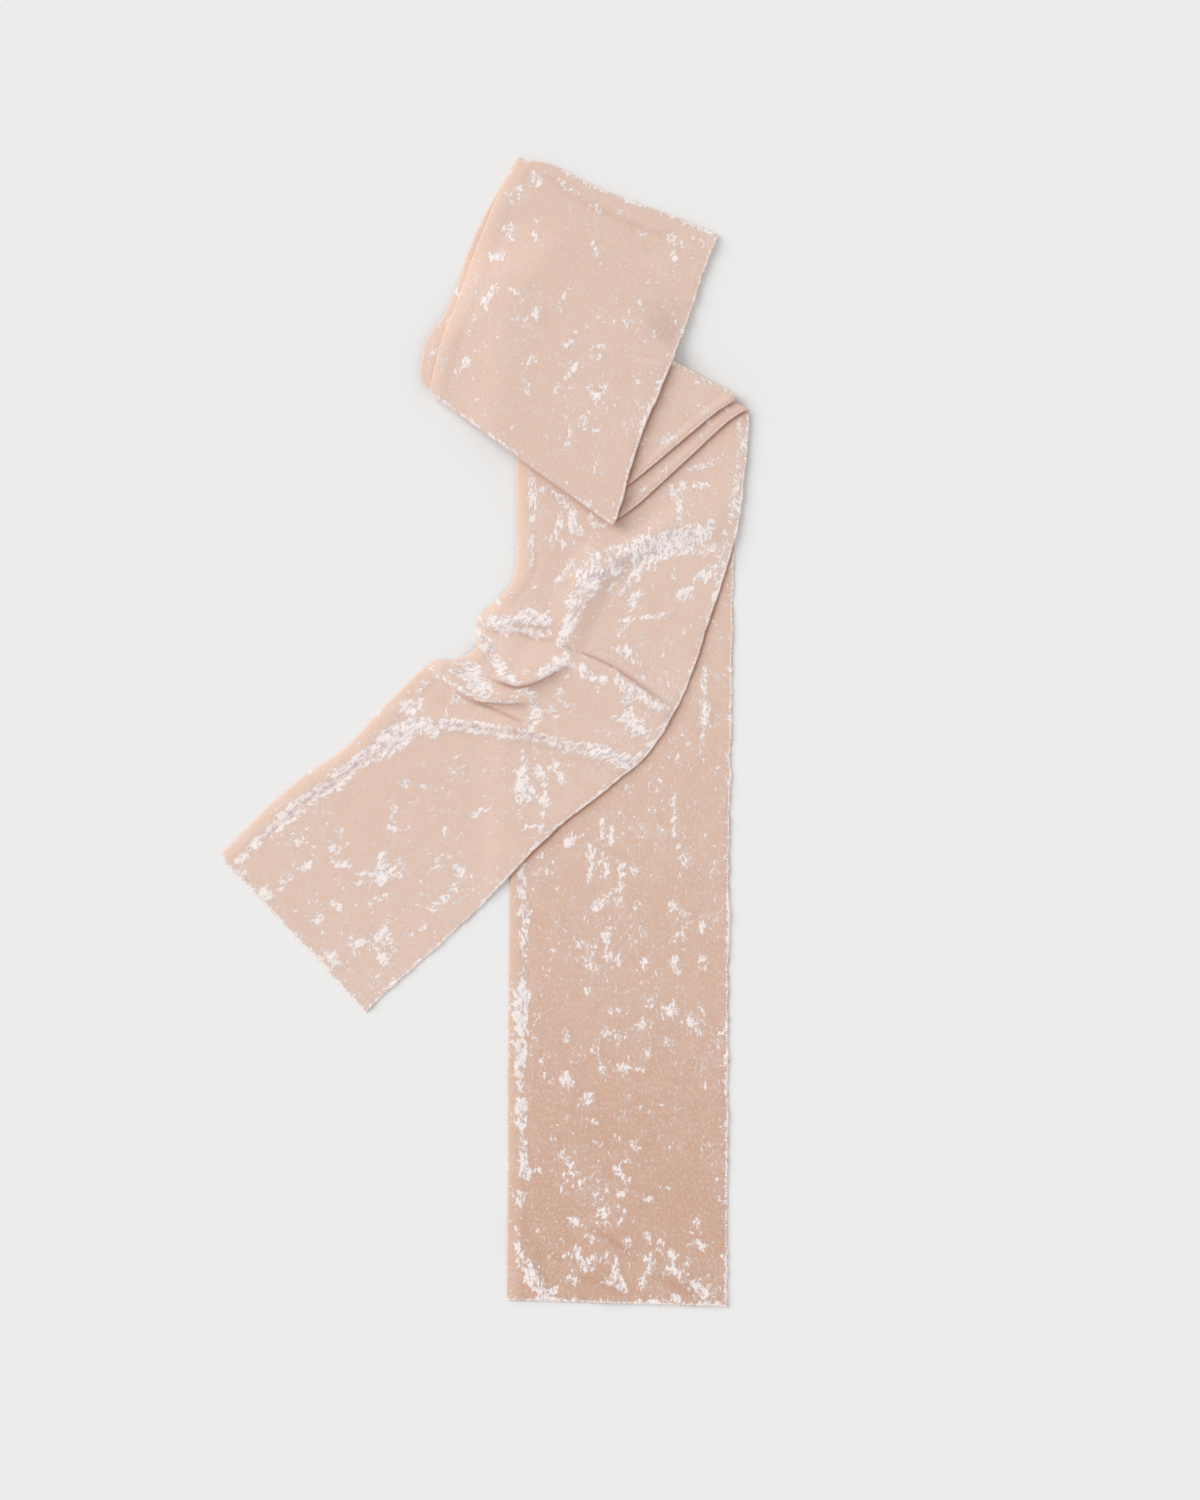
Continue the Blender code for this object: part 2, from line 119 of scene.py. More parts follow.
HIDDEN_TURN = sections(
    (127.1, 272.9, 42.6, 319.4), (84.8, 163.9, -38.8, 253.5),
)

# The loop's lower layer peeps out past the upper one by these reaches, one for each place
PEEP_PLACES = (0.0, 1.0, 2.0, 3.0, 3.6, 4.0, 4.5, 5.0)
PEEP_REACHES = (1.0, 1.8, 4.5, 5.0, 5.5, 11.5, 11.5, 8.5)

print(sum(map(len, (LONG_TAIL, SHORT_TAIL, LOOP))), "sections on the long stretches")

# %% Wedges and plans
# The wedges of the turn: their open seam edge, and the line that the loop hides
TURN_LOWER = sections(
    (193.6, 236.3, 127.5, 272.7), (181.8, 229.0, 121.7, 257.8), (169.8, 218.7, 115.8, 242.6),
    (155.8, 205.4, 109.2, 225.7), (141.5, 192.2, 102.8, 209.2), (127.2, 179.0, 96.3, 192.6),
    (113.0, 166.2, 90.4, 177.4), (97.2, 154.9, 85.3, 163.6),
)
TURN_UPPER = sections(
    (183.6, 241.8, 127.5, 272.7), (174.9, 236.6, 122.5, 259.8), (164.6, 228.9, 117.5, 247.0),
    (150.7, 217.2, 111.5, 231.6), (136.7, 205.4, 105.4, 215.9), (122.7, 193.6, 99.3, 200.3),
    (109.0, 182.6, 93.6, 185.6), (96.0, 173.8, 88.8, 173.2),
)

TURN_PLAN = ((197.0, 240.2), (45.0, 324.0), (-43.0, 254.0), (97.0, 148.0))
TAILS_PLAN = ((160.0, 60.0), (24.3, 60.0), (24.0, 198.0), (32.0, 262.0), (40.0, 324.5),
              (197.0, 240.0), (186.0, 147.0))
LONG_TAIL_PLAN, SHORT_TAIL_PLAN, LOOP_PLAN, UPPER_WEDGE_PLAN, LOWER_WEDGE_PLAN = map(
    plan_of, (LONG_TAIL, SHORT_TAIL, LOOP, TURN_UPPER, TURN_LOWER))
print(len(TURN_LOWER + TURN_UPPER), "sections on the wedges,", len(SHORT_TAIL_PLAN), "corners round the short tail")

# %% Gathers and hem waves
Ridge = namedtuple("Ridge", "height left right lean points")


def ridges(*rows):
    """Ridges from rows of a height, a width to each side and a lean, then the crest's points."""
    return tuple(Ridge(*row[:4], spots_of(row[4:])) for row in rows)


GATHERS = ridges(
    (4.6, 9.0, 13.0, 0.0, 166.0, 152.0, 122.0, 146.0, 90.0, 123.0, 74.0, 98.0, 58.0, 64.0),
    (3.6, 7.0, 5.5, -1.0, 2.0, 82.0, 28.0, 82.0, 54.0, 78.0),
    (7.4, 14.0, 3.6, -2.6, 0.0, 44.0, 26.0, 37.0, 44.0, 42.0, 60.0, 50.0),
    (4.8, 3.4, 12.0, 2.2, 58.0, 60.0, 90.0, 46.0, 112.0, 32.0, 131.0, 18.0),
    (6.2, 10.0, 3.6, -2.4, -30.0, 42.0, -10.0, 27.0, 2.0, 24.0, 30.0, 22.0),
    (3.4, 7.0, 6.0, 0.0, -40.0, 10.0, -12.0, 6.0, 24.0, 0.0, 54.0, -8.0, 100.0, -24.0),
    (6.0, 7.0, 7.0, 0.0, -14.0, 62.0, -2.0, 54.0, 8.0, 44.0),
)
HEM_WAVES = ridges(
    (2.8, 9.0, 12.0, 0.0, 88.0, -366.0, 126.0, -388.0, 160.0, -412.0),
    (2.5, 8.0, 11.0, 0.0, 60.0, -392.0, 84.0, -404.0, 104.0, -418.0),
    (2.1, 6.0, 9.0, 0.0, 22.0, -364.0, 34.0, -390.0, 42.0, -412.0),
)
print(len(GATHERS), "gathers and", len(HEM_WAVES), "waves at the hem")

# %% [markdown]
# ## Where the pile is crushed
#
# Crushed velvet shows silvery marks where its pile lies flat. On this scarf they run along the fold edge as a dusty
# line, cross the gathers in streaks, and are scattered as small ragged flecks over the rest. The larger ones are
# listed one by one: each mark below is a line in the picture's own pixels, with the width that it is seen to have.
# Each stretch keeps its own marks, because stretches lie over each other in plan, and lists them by their strength.
# Everything finer is left to a noise in the finish, which the marks only strengthen.

# %% Scale of the picture
PICTURE_ORIGIN = (484.0, 731.5)
MILLIMETRES_PER_PIXEL = 0.735
Mark = namedtuple("Mark", "width strength spots")
Crease = namedtuple("Crease", "depth width spots")


def from_picture(spot):
    """Plan point in millimetres of a spot in the picture's pixels."""
    return ((spot[0] - PICTURE_ORIGIN[0]) * MILLIMETRES_PER_PIXEL,
            (PICTURE_ORIGIN[1] - spot[1]) * MILLIMETRES_PER_PIXEL)


def marks(rows_by_strength):
    """Marks under their strength: each row is a width, then the spots of a line, all in pixels."""
    return [Mark(row[0], strength, spots_of(row[1:]))
            for strength, rows in rows_by_strength.items() for row in rows]


def creases(*rows):
    """Creases from rows of a depth and a width in millimetres, then the spots of a line in pixels."""
    return [Crease(*row[:2], spots_of(row[2:])) for row in rows]


print("the picture's middle is at", from_picture((600.0, 750.0)), "mm")

# %% Marks on the long tail
LONG_TAIL_MARKS = marks({
    1.2: (
        (16, 522, 994, 521, 1006), (13, 520, 1010, 520, 1030), (10, 521, 1043, 521, 1060, 518, 1074),
        (11, 520, 1084, 523, 1100, 521, 1114, 522, 1126), (8, 523, 1138, 524, 1154, 523, 1167, 526, 1177),
        (8, 520, 1194, 519, 1204), (7, 517, 1242, 519, 1252), (10, 522, 1258, 531, 1272),
        (13, 532, 1275, 537, 1284), (10, 540, 1289, 545, 1294)),
    1.15: ((8, 614, 1262, 618, 1276, 625, 1288),),
    1.1: (
        (8, 521, 866, 522, 895), (12, 525, 908, 525, 922), (9, 523, 927, 525, 946), (8, 675, 1298, 679, 1304),
        (8, 606, 1281, 617, 1285), (7, 670, 1266, 686, 1277), (8, 693, 1285, 704, 1295),
        (7, 704, 672, 705, 690), (9, 591, 967)),
    1.05: ((11, 573, 1263, 590, 1265), (10, 596, 1256, 613, 1257),),
    1.0: (
        (6, 525, 948, 523, 985), (4, 529, 1171, 538, 1169), (5, 515, 1228, 516, 1233),
        (6, 551, 1291, 556, 1288), (7, 514, 1300, 560, 1301, 610, 1302), (8, 704, 705, 706, 722),
        (6, 674, 800, 675, 822, 674, 845), (4, 625, 787, 630, 800), (3, 620, 813, 622, 818),
        (5, 603, 820, 601, 838), (4, 612, 828, 610, 845), (9, 568, 844, 574, 838), (7, 591, 848, 590, 862),
        (5, 591, 864, 590, 882), (8, 604, 855, 604, 862), (6, 606, 868, 602, 877), (9, 634, 868, 635, 872),
        (7, 623, 866, 622, 885), (4, 622, 887, 612, 893), (10, 601, 901, 605, 899), (4, 592, 908, 599, 908),
        (10, 616, 900, 616, 905), (10, 685, 858, 687, 862), (6, 674, 906, 688, 914), (7, 703, 924, 701, 930),
        (7, 676, 936, 675, 940), (6, 676, 958, 677, 972), (9, 702, 958, 703, 966), (7, 607, 936, 606, 946),
        (7, 590, 950, 592, 955), (8, 608, 956, 611, 954), (5, 617, 960, 620, 962), (6, 644, 960, 645, 966),
        (4, 630, 938, 632, 942), (6, 589, 990, 591, 994), (5, 629, 992), (8, 649, 1001, 652, 998),
        (10, 668, 1009, 674, 1010), (13, 692, 1021, 695, 1024), (6, 698, 1030, 700, 1035),
        (5, 703, 1007, 704, 1012), (10, 596, 1044, 595, 1050), (5, 598, 1054, 600, 1066), (8, 601, 1069),
        (4, 666, 1043, 669, 1041), (6, 620, 1067, 626, 1070), (4, 636, 1068, 643, 1069),
        (11, 566, 1078, 569, 1084), (10, 582, 1104, 589, 1097), (6, 595, 1121),
        (5, 562, 1150, 564, 1158, 570, 1164), (8, 633, 1143, 635, 1148), (4, 654, 1118),
        (5, 616, 1168, 627, 1180), (5, 625, 1190, 621, 1194), (6, 639, 1196, 650, 1200), (6, 581, 1183),
        (9, 602, 1211, 603, 1215), (9, 571, 1225, 575, 1220), (6, 539, 1231, 541, 1229),
        (9, 589, 1237, 591, 1240), (6, 576, 1247), (5, 620, 1221), (4, 634, 1219), (8, 627, 1239, 628, 1244),
        (9, 646, 1235, 648, 1240), (8, 657, 1247, 660, 1243), (7, 671, 1250, 674, 1254),
        (7, 698, 1243, 702, 1247), (10, 586, 1266, 592, 1261), (8, 612, 1266, 615, 1274),
        (12, 616, 1279, 620, 1284), (9, 647, 1260, 649, 1268), (7, 643, 1279, 646, 1275),
        (6, 672, 1265, 686, 1274), (10, 699, 1286, 702, 1289)),
    0.9: (
        (6, 640, 1303, 722, 1306), (5, 565, 1255, 578, 1253), (5, 617, 1205, 624, 1212),
        (11, 603, 1256, 609, 1258)),
    0.8: (
        (6, 639, 1022, 640, 1028), (7, 646, 1052), (6, 619, 1137), (8, 695, 1221), (8, 572, 1276, 575, 1280)),
    0.75: ((13, 608, 1034, 620, 1036),),
    0.7: (
        (5, 705, 670, 702, 708, 701, 728, 701, 754), (8, 664, 835, 662, 830), (6, 581, 942, 578, 946),
        (6, 619, 1012, 607, 1009), (6, 565, 1030, 567, 1040), (4, 640, 1107, 642, 1130),
        (5, 652, 1182, 672, 1190)),
})

print(len(LONG_TAIL_MARKS), "marks on the long tail")

# %% Marks on the short tail
SHORT_TAIL_MARKS = marks({
    1.3: (
        (7, 563, 661, 578, 670, 592, 678, 604, 681), (10, 531, 697, 536, 706, 536, 722),
        (12, 444, 724, 469, 727, 499, 731, 531, 735), (10, 531, 735, 548, 740, 570, 744),
        (14, 386, 932, 390, 942)),
    1.25: ((8, 402, 784, 408, 783), (9, 392, 820, 393, 830), (5, 331, 862, 340, 865, 350, 864),),
    1.2: (
        (7, 532, 474, 533, 520, 531, 566), (12, 709, 526, 702, 532), (20, 700, 535, 686, 541),
        (27, 686, 541, 665, 546, 645, 552), (16, 578, 600, 571, 620), (11, 571, 620, 562, 642),
        (8, 556, 660, 548, 672, 540, 676), (5, 549, 706, 556, 716, 556, 730),
        (5, 616, 717, 630, 724, 643, 730), (5, 570, 665, 587, 679), (20, 414, 728, 409, 731),
        (25, 400, 736, 393, 741), (20, 386, 746, 376, 752), (17, 366, 757, 340, 776),
        (14, 336, 780, 312, 798, 292, 812), (12, 292, 812, 275, 826), (9, 382, 956, 385, 961)),
    1.15: (
        (33, 640, 553, 618, 560, 603, 566), (32, 603, 566, 590, 578), (24, 588, 580, 578, 600),
        (10, 485, 621, 515, 619, 545, 619), (13, 566, 748, 590, 749, 612, 755, 633, 764),
        (15, 433, 731, 426, 724), (9, 275, 826, 257, 844), (14, 476, 684, 486, 690),
        (12, 486, 645, 496, 660, 510, 676), (10, 543, 671, 558, 663), (8, 460, 759, 462, 765),
        (12, 265, 893, 268, 900), (8, 457, 866, 460, 872)),
    1.1: (
        (7, 571, 514, 575, 532), (6, 559, 519, 556, 534), (6, 547, 541, 562, 546), (11, 688, 592, 679, 596),
        (7, 560, 692, 566, 697), (7, 515, 694, 530, 692, 536, 700), (12, 534, 704, 538, 716, 530, 724),
        (3, 444, 677, 482, 699, 531, 702), (7, 257, 844, 238, 861), (15, 466, 666, 474, 670),
        (7, 334, 846, 338, 850), (6, 384, 854, 384, 862), (16, 383, 871, 387, 873), (9, 381, 881),
        (10, 436, 905, 434, 909), (8, 334, 904, 339, 908), (10, 372, 938, 377, 936)),
    1.05: (
        (11, 522, 772, 524, 786), (14, 522, 794, 530, 794), (10, 543, 796, 545, 802), (11, 543, 828, 547, 832)),
    1.0: (
        (9, 545, 489, 553, 495), (6, 560, 497, 568, 506, 574, 514), (6, 589, 519, 605, 527),
        (12, 673, 492, 682, 488), (5, 692, 470, 712, 464), (5, 679, 500, 680, 517),
        (5, 697, 645, 701, 640, 704, 660), (5, 743, 440, 743, 450), (5, 737, 489, 732, 506),
        (5, 640, 570, 636, 575), (6, 691, 590, 679, 592), (3, 700, 645, 702, 648), (5, 566, 705, 574, 706),
        (6, 572, 714, 580, 716), (10, 618, 682, 628, 694, 650, 702), (9, 625, 700, 628, 712, 634, 726),
        (5, 549, 710, 556, 720, 556, 730), (9, 618, 684, 640, 696, 659, 706), (5, 618, 718, 642, 730),
        (8, 520, 610, 534, 614, 546, 622), (6, 510, 626, 530, 632, 548, 634), (3, 497, 631, 536, 638),
        (9, 480, 631, 488, 650, 500, 668, 516, 682), (7, 538, 674, 552, 665, 565, 657),
        (11, 453, 667, 470, 676, 485, 685), (7, 526, 690, 530, 704, 536, 717), (4, 550, 708, 555, 728),
        (4, 497, 597, 499, 603), (5, 421, 686, 424, 690), (5, 454, 696, 450, 712), (6, 404, 704, 409, 708),
        (14, 409, 710, 416, 704), (8, 419, 691, 424, 684), (8, 455, 694, 458, 700), (4, 452, 702, 447, 714),
        (5, 523, 750, 523, 764), (5, 519, 802, 524, 818), (8, 553, 768, 558, 764), (4, 526, 826, 536, 828),
        (6, 543, 814, 543, 822), (7, 538, 840, 533, 847), (4, 484, 771, 486, 775), (6, 422, 788, 428, 787),
        (8, 392, 800, 394, 808), (3, 436, 789, 449, 792), (4, 390, 797, 394, 799), (3, 408, 803, 416, 800),
        (7, 472, 816, 480, 813, 491, 806), (4, 445, 828, 448, 832), (4, 349, 844), (7, 303, 868, 308, 866),
        (4, 279, 890, 281, 884), (6, 241, 873, 244, 876), (5, 440, 866), (8, 448, 892, 444, 899),
        (5, 424, 924, 423, 929), (7, 404, 933, 410, 934), (6, 372, 948, 381, 952), (6, 358, 943, 364, 941),
        (4, 347, 943, 352, 944), (5, 391, 954, 396, 950), (9, 333, 956, 336, 962), (6, 326, 968, 330, 974),
        (5, 310, 951, 316, 956), (4, 259, 903, 263, 906)),
    0.95: ((8, 284, 880, 291, 876),),
    0.9: (
        (14, 712, 572, 700, 578), (8, 640, 592, 630, 600, 640, 610), (7, 612, 586, 622, 594),
        (6, 627, 648, 634, 660), (7, 727, 531, 722, 556, 715, 580), (8, 648, 566, 630, 577, 612, 587),
        (10, 578, 562, 566, 574, 558, 582), (4, 618, 621, 645, 618, 671, 614), (6, 557, 696, 562, 700),
        (5, 433, 668, 442, 684), (12, 538, 772, 544, 779), (6, 560, 775, 566, 788), (7, 452, 772, 462, 770),
        (7, 396, 867, 400, 876), (4, 360, 873, 374, 874), (7, 312, 900, 318, 898)),
    0.8: (
        (5, 580, 530, 588, 540), (8, 690, 487, 707, 486), (6, 700, 557, 716, 545), (7, 660, 618, 672, 612),
        (7, 640, 578, 618, 588, 606, 592), (5, 606, 585, 622, 596, 633, 599, 642, 607),
        (3, 563, 647, 606, 667, 635, 687, 661, 706), (6, 574, 716, 584, 712), (6, 396, 828, 410, 826),
        (6, 340, 830, 342, 834), (7, 314, 922, 321, 916)),
    0.7: ((6, 378, 898, 384, 896), (7, 452, 884, 454, 890), (7, 386, 920, 394, 918),),
    0.6: ((8, 741, 420, 739, 470, 731, 520), (7, 430, 806, 440, 810),),
})

print(len(SHORT_TAIL_MARKS), "marks on the short tail")

# %% Marks on the loop and the turn
LOOP_FRONT_MARKS = marks({
    1.3: ((10, 535, 179, 537, 183), (6, 639, 235, 647, 231), (7, 671, 238, 672, 243),),
    1.2: ((4, 533, 235, 542, 246),),
    1.15: ((6, 592, 206, 599, 211),),
    1.1: (
        (5, 559, 182, 571, 193, 577, 196), (5, 619, 213), (4, 594, 241, 595, 250, 598, 260, 601, 264),
        (6, 494, 289, 489, 299, 484, 309), (8, 466, 363), (5, 590, 390, 597, 399, 606, 391),
        (8, 583, 421, 584, 428)),
    1.05: ((9, 520, 191), (8, 518, 201, 527, 203),),
    1.0: (
        (5, 539, 169), (10, 509, 229, 511, 233), (6, 512, 239), (11, 494, 258, 500, 256), (4, 537, 223),
        (4, 596, 223), (7, 598, 260), (3, 606, 272), (5, 670, 252, 674, 259), (6, 473, 319),
        (5, 512, 293, 518, 297), (6, 533, 312, 536, 320), (8, 553, 309, 559, 313), (4, 562, 302, 566, 298),
        (3, 618, 291), (4, 637, 305, 641, 301), (6, 558, 354), (8, 567, 348, 572, 344), (4, 576, 333),
        (3, 545, 339), (5, 597, 351, 603, 349), (6, 593, 363, 599, 360), (4, 577, 365),
        (8, 531, 365, 535, 361), (4, 457, 374, 463, 368), (7, 554, 392, 560, 388), (3, 512, 430),
        (4, 636, 436, 640, 440)),
    0.9: ((4, 566, 380, 575, 370), (5, 566, 482, 568, 490), (5, 600, 520, 610, 527),),
    0.8: ((4, 611, 235), (4, 640, 257, 654, 250), (4, 590, 430, 600, 436),),
    0.7: (
        (4, 484, 281, 491, 283), (6, 583, 290, 587, 293), (5, 524, 380, 530, 395), (5, 478, 353, 486, 346),
        (4, 632, 378, 636, 384), (4, 568, 412, 568, 450), (4, 547, 425, 547, 454)),
    0.6: ((6, 600, 321, 633, 325),),
    0.5: ((4, 548, 489, 575, 506),),
})

LOOP_BACK_MARKS = marks({
    1.0: ((5, 459, 292, 458, 300), (5, 451, 318, 449, 324), (5, 436, 347, 434, 353),),
})

TURN_UPPER_MARKS = marks({
    1.25: ((6, 664, 443, 671, 437),),
    1.2: ((5, 697, 384, 700, 380), (6, 636, 448, 641, 440),),
    0.9: ((4, 662, 410, 664, 414),),
})

TURN_LOWER_MARKS = marks({
    1.25: ((6, 721, 411, 732, 403),),
    1.1: ((5, 706, 423, 709, 427),),
    1.0: ((4, 640, 492, 646, 487),),
})
print(len(LOOP_FRONT_MARKS), "marks on the loop,", len(TURN_UPPER_MARKS + TURN_LOWER_MARKS), "on the turn")

# %% Creases and soft hollows
SHORT_TAIL_CREASES = creases(
    (1.0, 1.5, 560, 645, 583, 655, 606, 665, 635, 685, 663, 705),
    (1.2, 1.6, 499, 682, 519, 686, 541, 679, 558, 669),
    (1.0, 1.5, 470, 694, 482, 700, 500, 702, 524, 704),
    (0.8, 1.5, 458, 692, 480, 703, 505, 714, 522, 722),
    (0.6, 1.4, 495, 632, 515, 634, 536, 639, 556, 642),
    (0.5, 1.8, 444, 723, 469, 726, 499, 730, 531, 734, 560, 743, 590, 750),
    (0.5, 2.2, 399, 738, 362, 764, 320, 792, 300, 808, 262, 840),
)

LONG_TAIL_CREASES = creases(
    (0.75, 3.4, 592, 1228, 606, 1236, 620, 1245, 636, 1258),
    (0.75, 3.4, 656, 1274, 674, 1284, 694, 1297),
    (0.65, 2.6, 578, 1273, 597, 1281, 620, 1292),
    (0.5, 2.2, 545, 1252, 560, 1257, 576, 1262),
)

LOOP_CREASES = creases(
    (0.35, 2.6, 548, 178, 566, 191, 589, 206, 621, 221, 650, 232, 672, 240),
)
print(len(SHORT_TAIL_CREASES), "creases on the short tail and", len(LONG_TAIL_CREASES), "hollows on the long one")

# %% [markdown]
# ## Measuring over many points at once
#
# A fine cloth has tens of thousands of points. Asking each one how far it lies from an edge
# or a crest is slow in a plain loop, so these helpers take whole arrays of plan points. The
# functions are the same as in the measured part: a distance outside an outline, the nearest
# place on a line, and a soft step from one to nothing.

# %% Distances
def smooth_fall(distance, bridge, fall):
    """One over the bridged length, then an even S down to nothing."""
    share = np.clip((distance - bridge) / fall, 0.0, 1.0)
    return 1.0 - share * share * (3.0 - 2.0 * share)


def nearest_on_line(points, line):
    """For each point: its distance to an open line, the place on it from 0 to 1, and its side."""
    best = np.full(len(points), np.inf)
    place, side = np.zeros((2, len(points)))
    normal = np.zeros((len(points), 2))
    spans = len(line) - 1
    for index in range(spans):
        start = np.array(line[index], float)
        run = np.array(line[index + 1], float) - start
        along = np.clip(((points - start) @ run) / (run @ run), 0.0, 1.0)
        away = points - (start + along[:, None] * run)
        distance = np.hypot(away[:, 0], away[:, 1])
        closer = distance < best
        left = np.array((-run[1], run[0])) / np.hypot(*run)
        best = np.where(closer, distance, best)
        place = np.where(closer, (index + along) / spans, place)
        side = np.where(closer, (away @ left) / np.maximum(distance, 0.001), side)
        normal[closer] = left
    return best, place, side, normal


def outside(points, plan):
    """Distance outside a closed outline, nothing inside it, and the nearest spot that it covers."""
    inside = np.zeros(len(points), bool)
    best = np.full(len(points), np.inf)
    spot = points.copy()
    x, y = points[:, 0], points[:, 1]
    for start, end in zip(plan, plan[1:] + plan[:1]):
        start, end = np.array(start, float), np.array(end, float)
        run = end - start
        crosses = (start[1] > y) != (end[1] > y)
        crossing = start[0] + (y - start[1]) / (run[1] if run[1] else 1e-9) * run[0]
        inside ^= crosses & (x < crossing)
        along = np.clip(((points - start) @ run) / (run @ run), 0.0, 1.0)
        near = start + along[:, None] * run
        distance = np.hypot(*(points - near).T)
        closer = distance < best
        best = np.where(closer, distance, best)
        spot[closer] = near[closer]
    spot[inside] = points[inside]
    return np.where(inside, 0.0, best), spot


distance, _ = outside(np.array([(100.0, -100.0), (0.0, -100.0)]), LONG_TAIL_PLAN)
print("distances outside the long tail:", distance.round(1))

# %% Smooth lines
def curve_through(values, places):
    """Smooth curve through a list of points, at places counted in points."""
    values = np.asarray(values, float)
    places = np.asarray(places, float)
    index = np.minimum(places.astype(int), len(values) - 2)
    share = (places - index)[:, None]
    before, start = values[np.maximum(index - 1, 0)], values[index]
    end, after = values[index + 1], values[np.minimum(index + 2, len(values) - 1)]
    curve = 2 * start + (end - before) * share
    curve += (2 * before - 5 * start + 4 * end - after) * share ** 2
    curve += (3 * start - before - 3 * end + after) * share ** 3
    return curve / 2


def smooth_line(points, pieces=8):
    return curve_through(points, np.linspace(0, len(points) - 1, (len(points) - 1) * pieces + 1))


print("a gather's crest is drawn with", len(smooth_line(GATHERS[0].points)), "points")

# %% [markdown]
# ## Maps of the ground and of unevenness
#
# Cloth doesn't follow a hard edge below it: it bridges it and eases down. So the ground under
# each layer is drawn as a height map with 2 mm cells and blurred before the cloth reads it.
# The same kind of map, filled with seeded random numbers and blurred to a chosen size, gives
# the slight unevenness that every real cloth has, from palm-sized swells to small crinkles.

# %% Height maps
MAP_LOW = np.array((-240.0, -450.0))
MAP_HIGH = np.array((240.0, 450.0))


def map_points(cell):
    xs = np.arange(MAP_LOW[0], MAP_HIGH[0] + cell, cell)
    ys = np.arange(MAP_LOW[1], MAP_HIGH[1] + cell, cell)
    return xs, ys, np.array(np.meshgrid(xs, ys)).reshape(2, -1).T


def blurred(grid, size):
    """A map blurred by a bell curve of a size in cells, first across and then along."""
    reach = max(int(3 * size), 1)
    weights = np.exp(-0.5 * (np.arange(-reach, reach + 1) / size) ** 2)
    weights /= weights.sum()
    for axis in (0, 1):
        padding = [(reach, reach) if side == axis else (0, 0) for side in (0, 1)]
        padded = np.pad(grid, padding, mode="edge")
        grid = sum(weight * np.take(padded, range(step, step + grid.shape[axis]), axis=axis)
                   for step, weight in enumerate(weights))
    return grid


def reader(grid, cell):
    """A function that reads a map between its cells."""
    def read(points):
        place = (points - MAP_LOW) / cell
        column = np.clip(place[:, 0], 0, grid.shape[1] - 1.001)
        row = np.clip(place[:, 1], 0, grid.shape[0] - 1.001)
        i, j = row.astype(int), column.astype(int)
        u, v = column - j, row - i
        low = grid[i, j] * (1 - u) + grid[i, j + 1] * u
        high = grid[i + 1, j] * (1 - u) + grid[i + 1, j + 1] * u
        return low * (1 - v) + high * v
    return read


def ground_map(height, blur, cell=2.0):
    xs, ys, points = map_points(cell)
    return reader(blurred(height(points).reshape(len(ys), len(xs)), blur / cell), cell)


def unevenness(size, seed, cell=1.0):
    """Random swells about a size in millimetres across, from minus one to one or so."""
    xs, ys, _ = map_points(cell)
    grid = blurred(np.random.default_rng(seed).normal(size=(len(ys), len(xs))), size / cell)
    return reader(grid / grid.std(), cell)


SWELLS = unevenness(size=26.0, seed=3, cell=4.0)
RIPPLES = unevenness(size=7.0, seed=5, cell=2.0)
CRINKLES = unevenness(size=2.4, seed=8)
print("map of", len(map_points(2.0)[2]), "cells")

# %% [markdown]
# ## What lies under each layer
#
# The layers lie on each other in this order: long tail, short tail, the two turned stretches,
# then the back and the front of the loop. Each function below gives the height of the ground
# under one of them. The gathers of the short tail die away towards the turn, which presses it
# flat. A crest leans over its steep side, which is what makes a gather look like folded cloth
# and not like a dune.

# %% Gathers of the short tail
def ridge_height(points, ridge):
    """Height of one gather, and its push to the side."""
    distance, place, side, normal = nearest_on_line(points, smooth_line(ridge.points))
    width = ridge.right + (ridge.left - ridge.right) * (1.0 + side) / 2.0
    share = np.minimum(distance / (2.0 * width), 1.0)
    swell = np.sin(np.pi * np.clip(0.12 + 0.76 * place, 0.0, 1.0)) ** 0.8
    profile = swell * (1.0 - share * share * (3.0 - 2.0 * share))
    return ridge.height * profile, normal * (ridge.lean * profile ** 1.5)[:, None]


def folds_height(points, ridges):
    """Several gathers together, the tallest leading, and their pushes."""
    cubes = np.zeros(len(points))
    push = np.zeros((len(points), 2))
    for ridge in ridges:
        height, lean = ridge_height(points, ridge)
        cubes += height ** 3
        push += lean
    return cubes ** (1.0 / 3.0), push


print("highest gather:", folds_height(map_points(4.0)[2], GATHERS)[0].max().round(2), "mm")

# %% Ground heights
BRIDGE_OVER_TAIL = 7.0
FALL_OFF_TAIL = 14.0
BRIDGE_OVER_TAILS = 9.0
FALL_OFF_TAILS = 34.0
BRIDGE_OVER_TURN = 4.0
FALL_OFF_TURN = 44.0
FEEL_RADIUS = 7.0
FEELERS = 8
PRESSED_FLAT = 5.0
RISE_FROM_FLAT = 18.0


def freedom_from_turn(points):
    return 1.0 - smooth_fall(outside(points, TURN_PLAN)[0], PRESSED_FLAT, RISE_FROM_FLAT)


def raw_under_short_tail(points):
    return LAYER * smooth_fall(outside(points, LONG_TAIL_PLAN)[0], BRIDGE_OVER_TAIL, FALL_OFF_TAIL)


def raw_over_short_tail(points):
    gathers = folds_height(points, GATHERS)[0] * freedom_from_turn(points)
    return raw_under_short_tail(points) + gathers + WALL


def raw_under_turn(points):
    return 2 * LAYER * smooth_fall(outside(points, TAILS_PLAN)[0], BRIDGE_OVER_TAILS, FALL_OFF_TAILS)


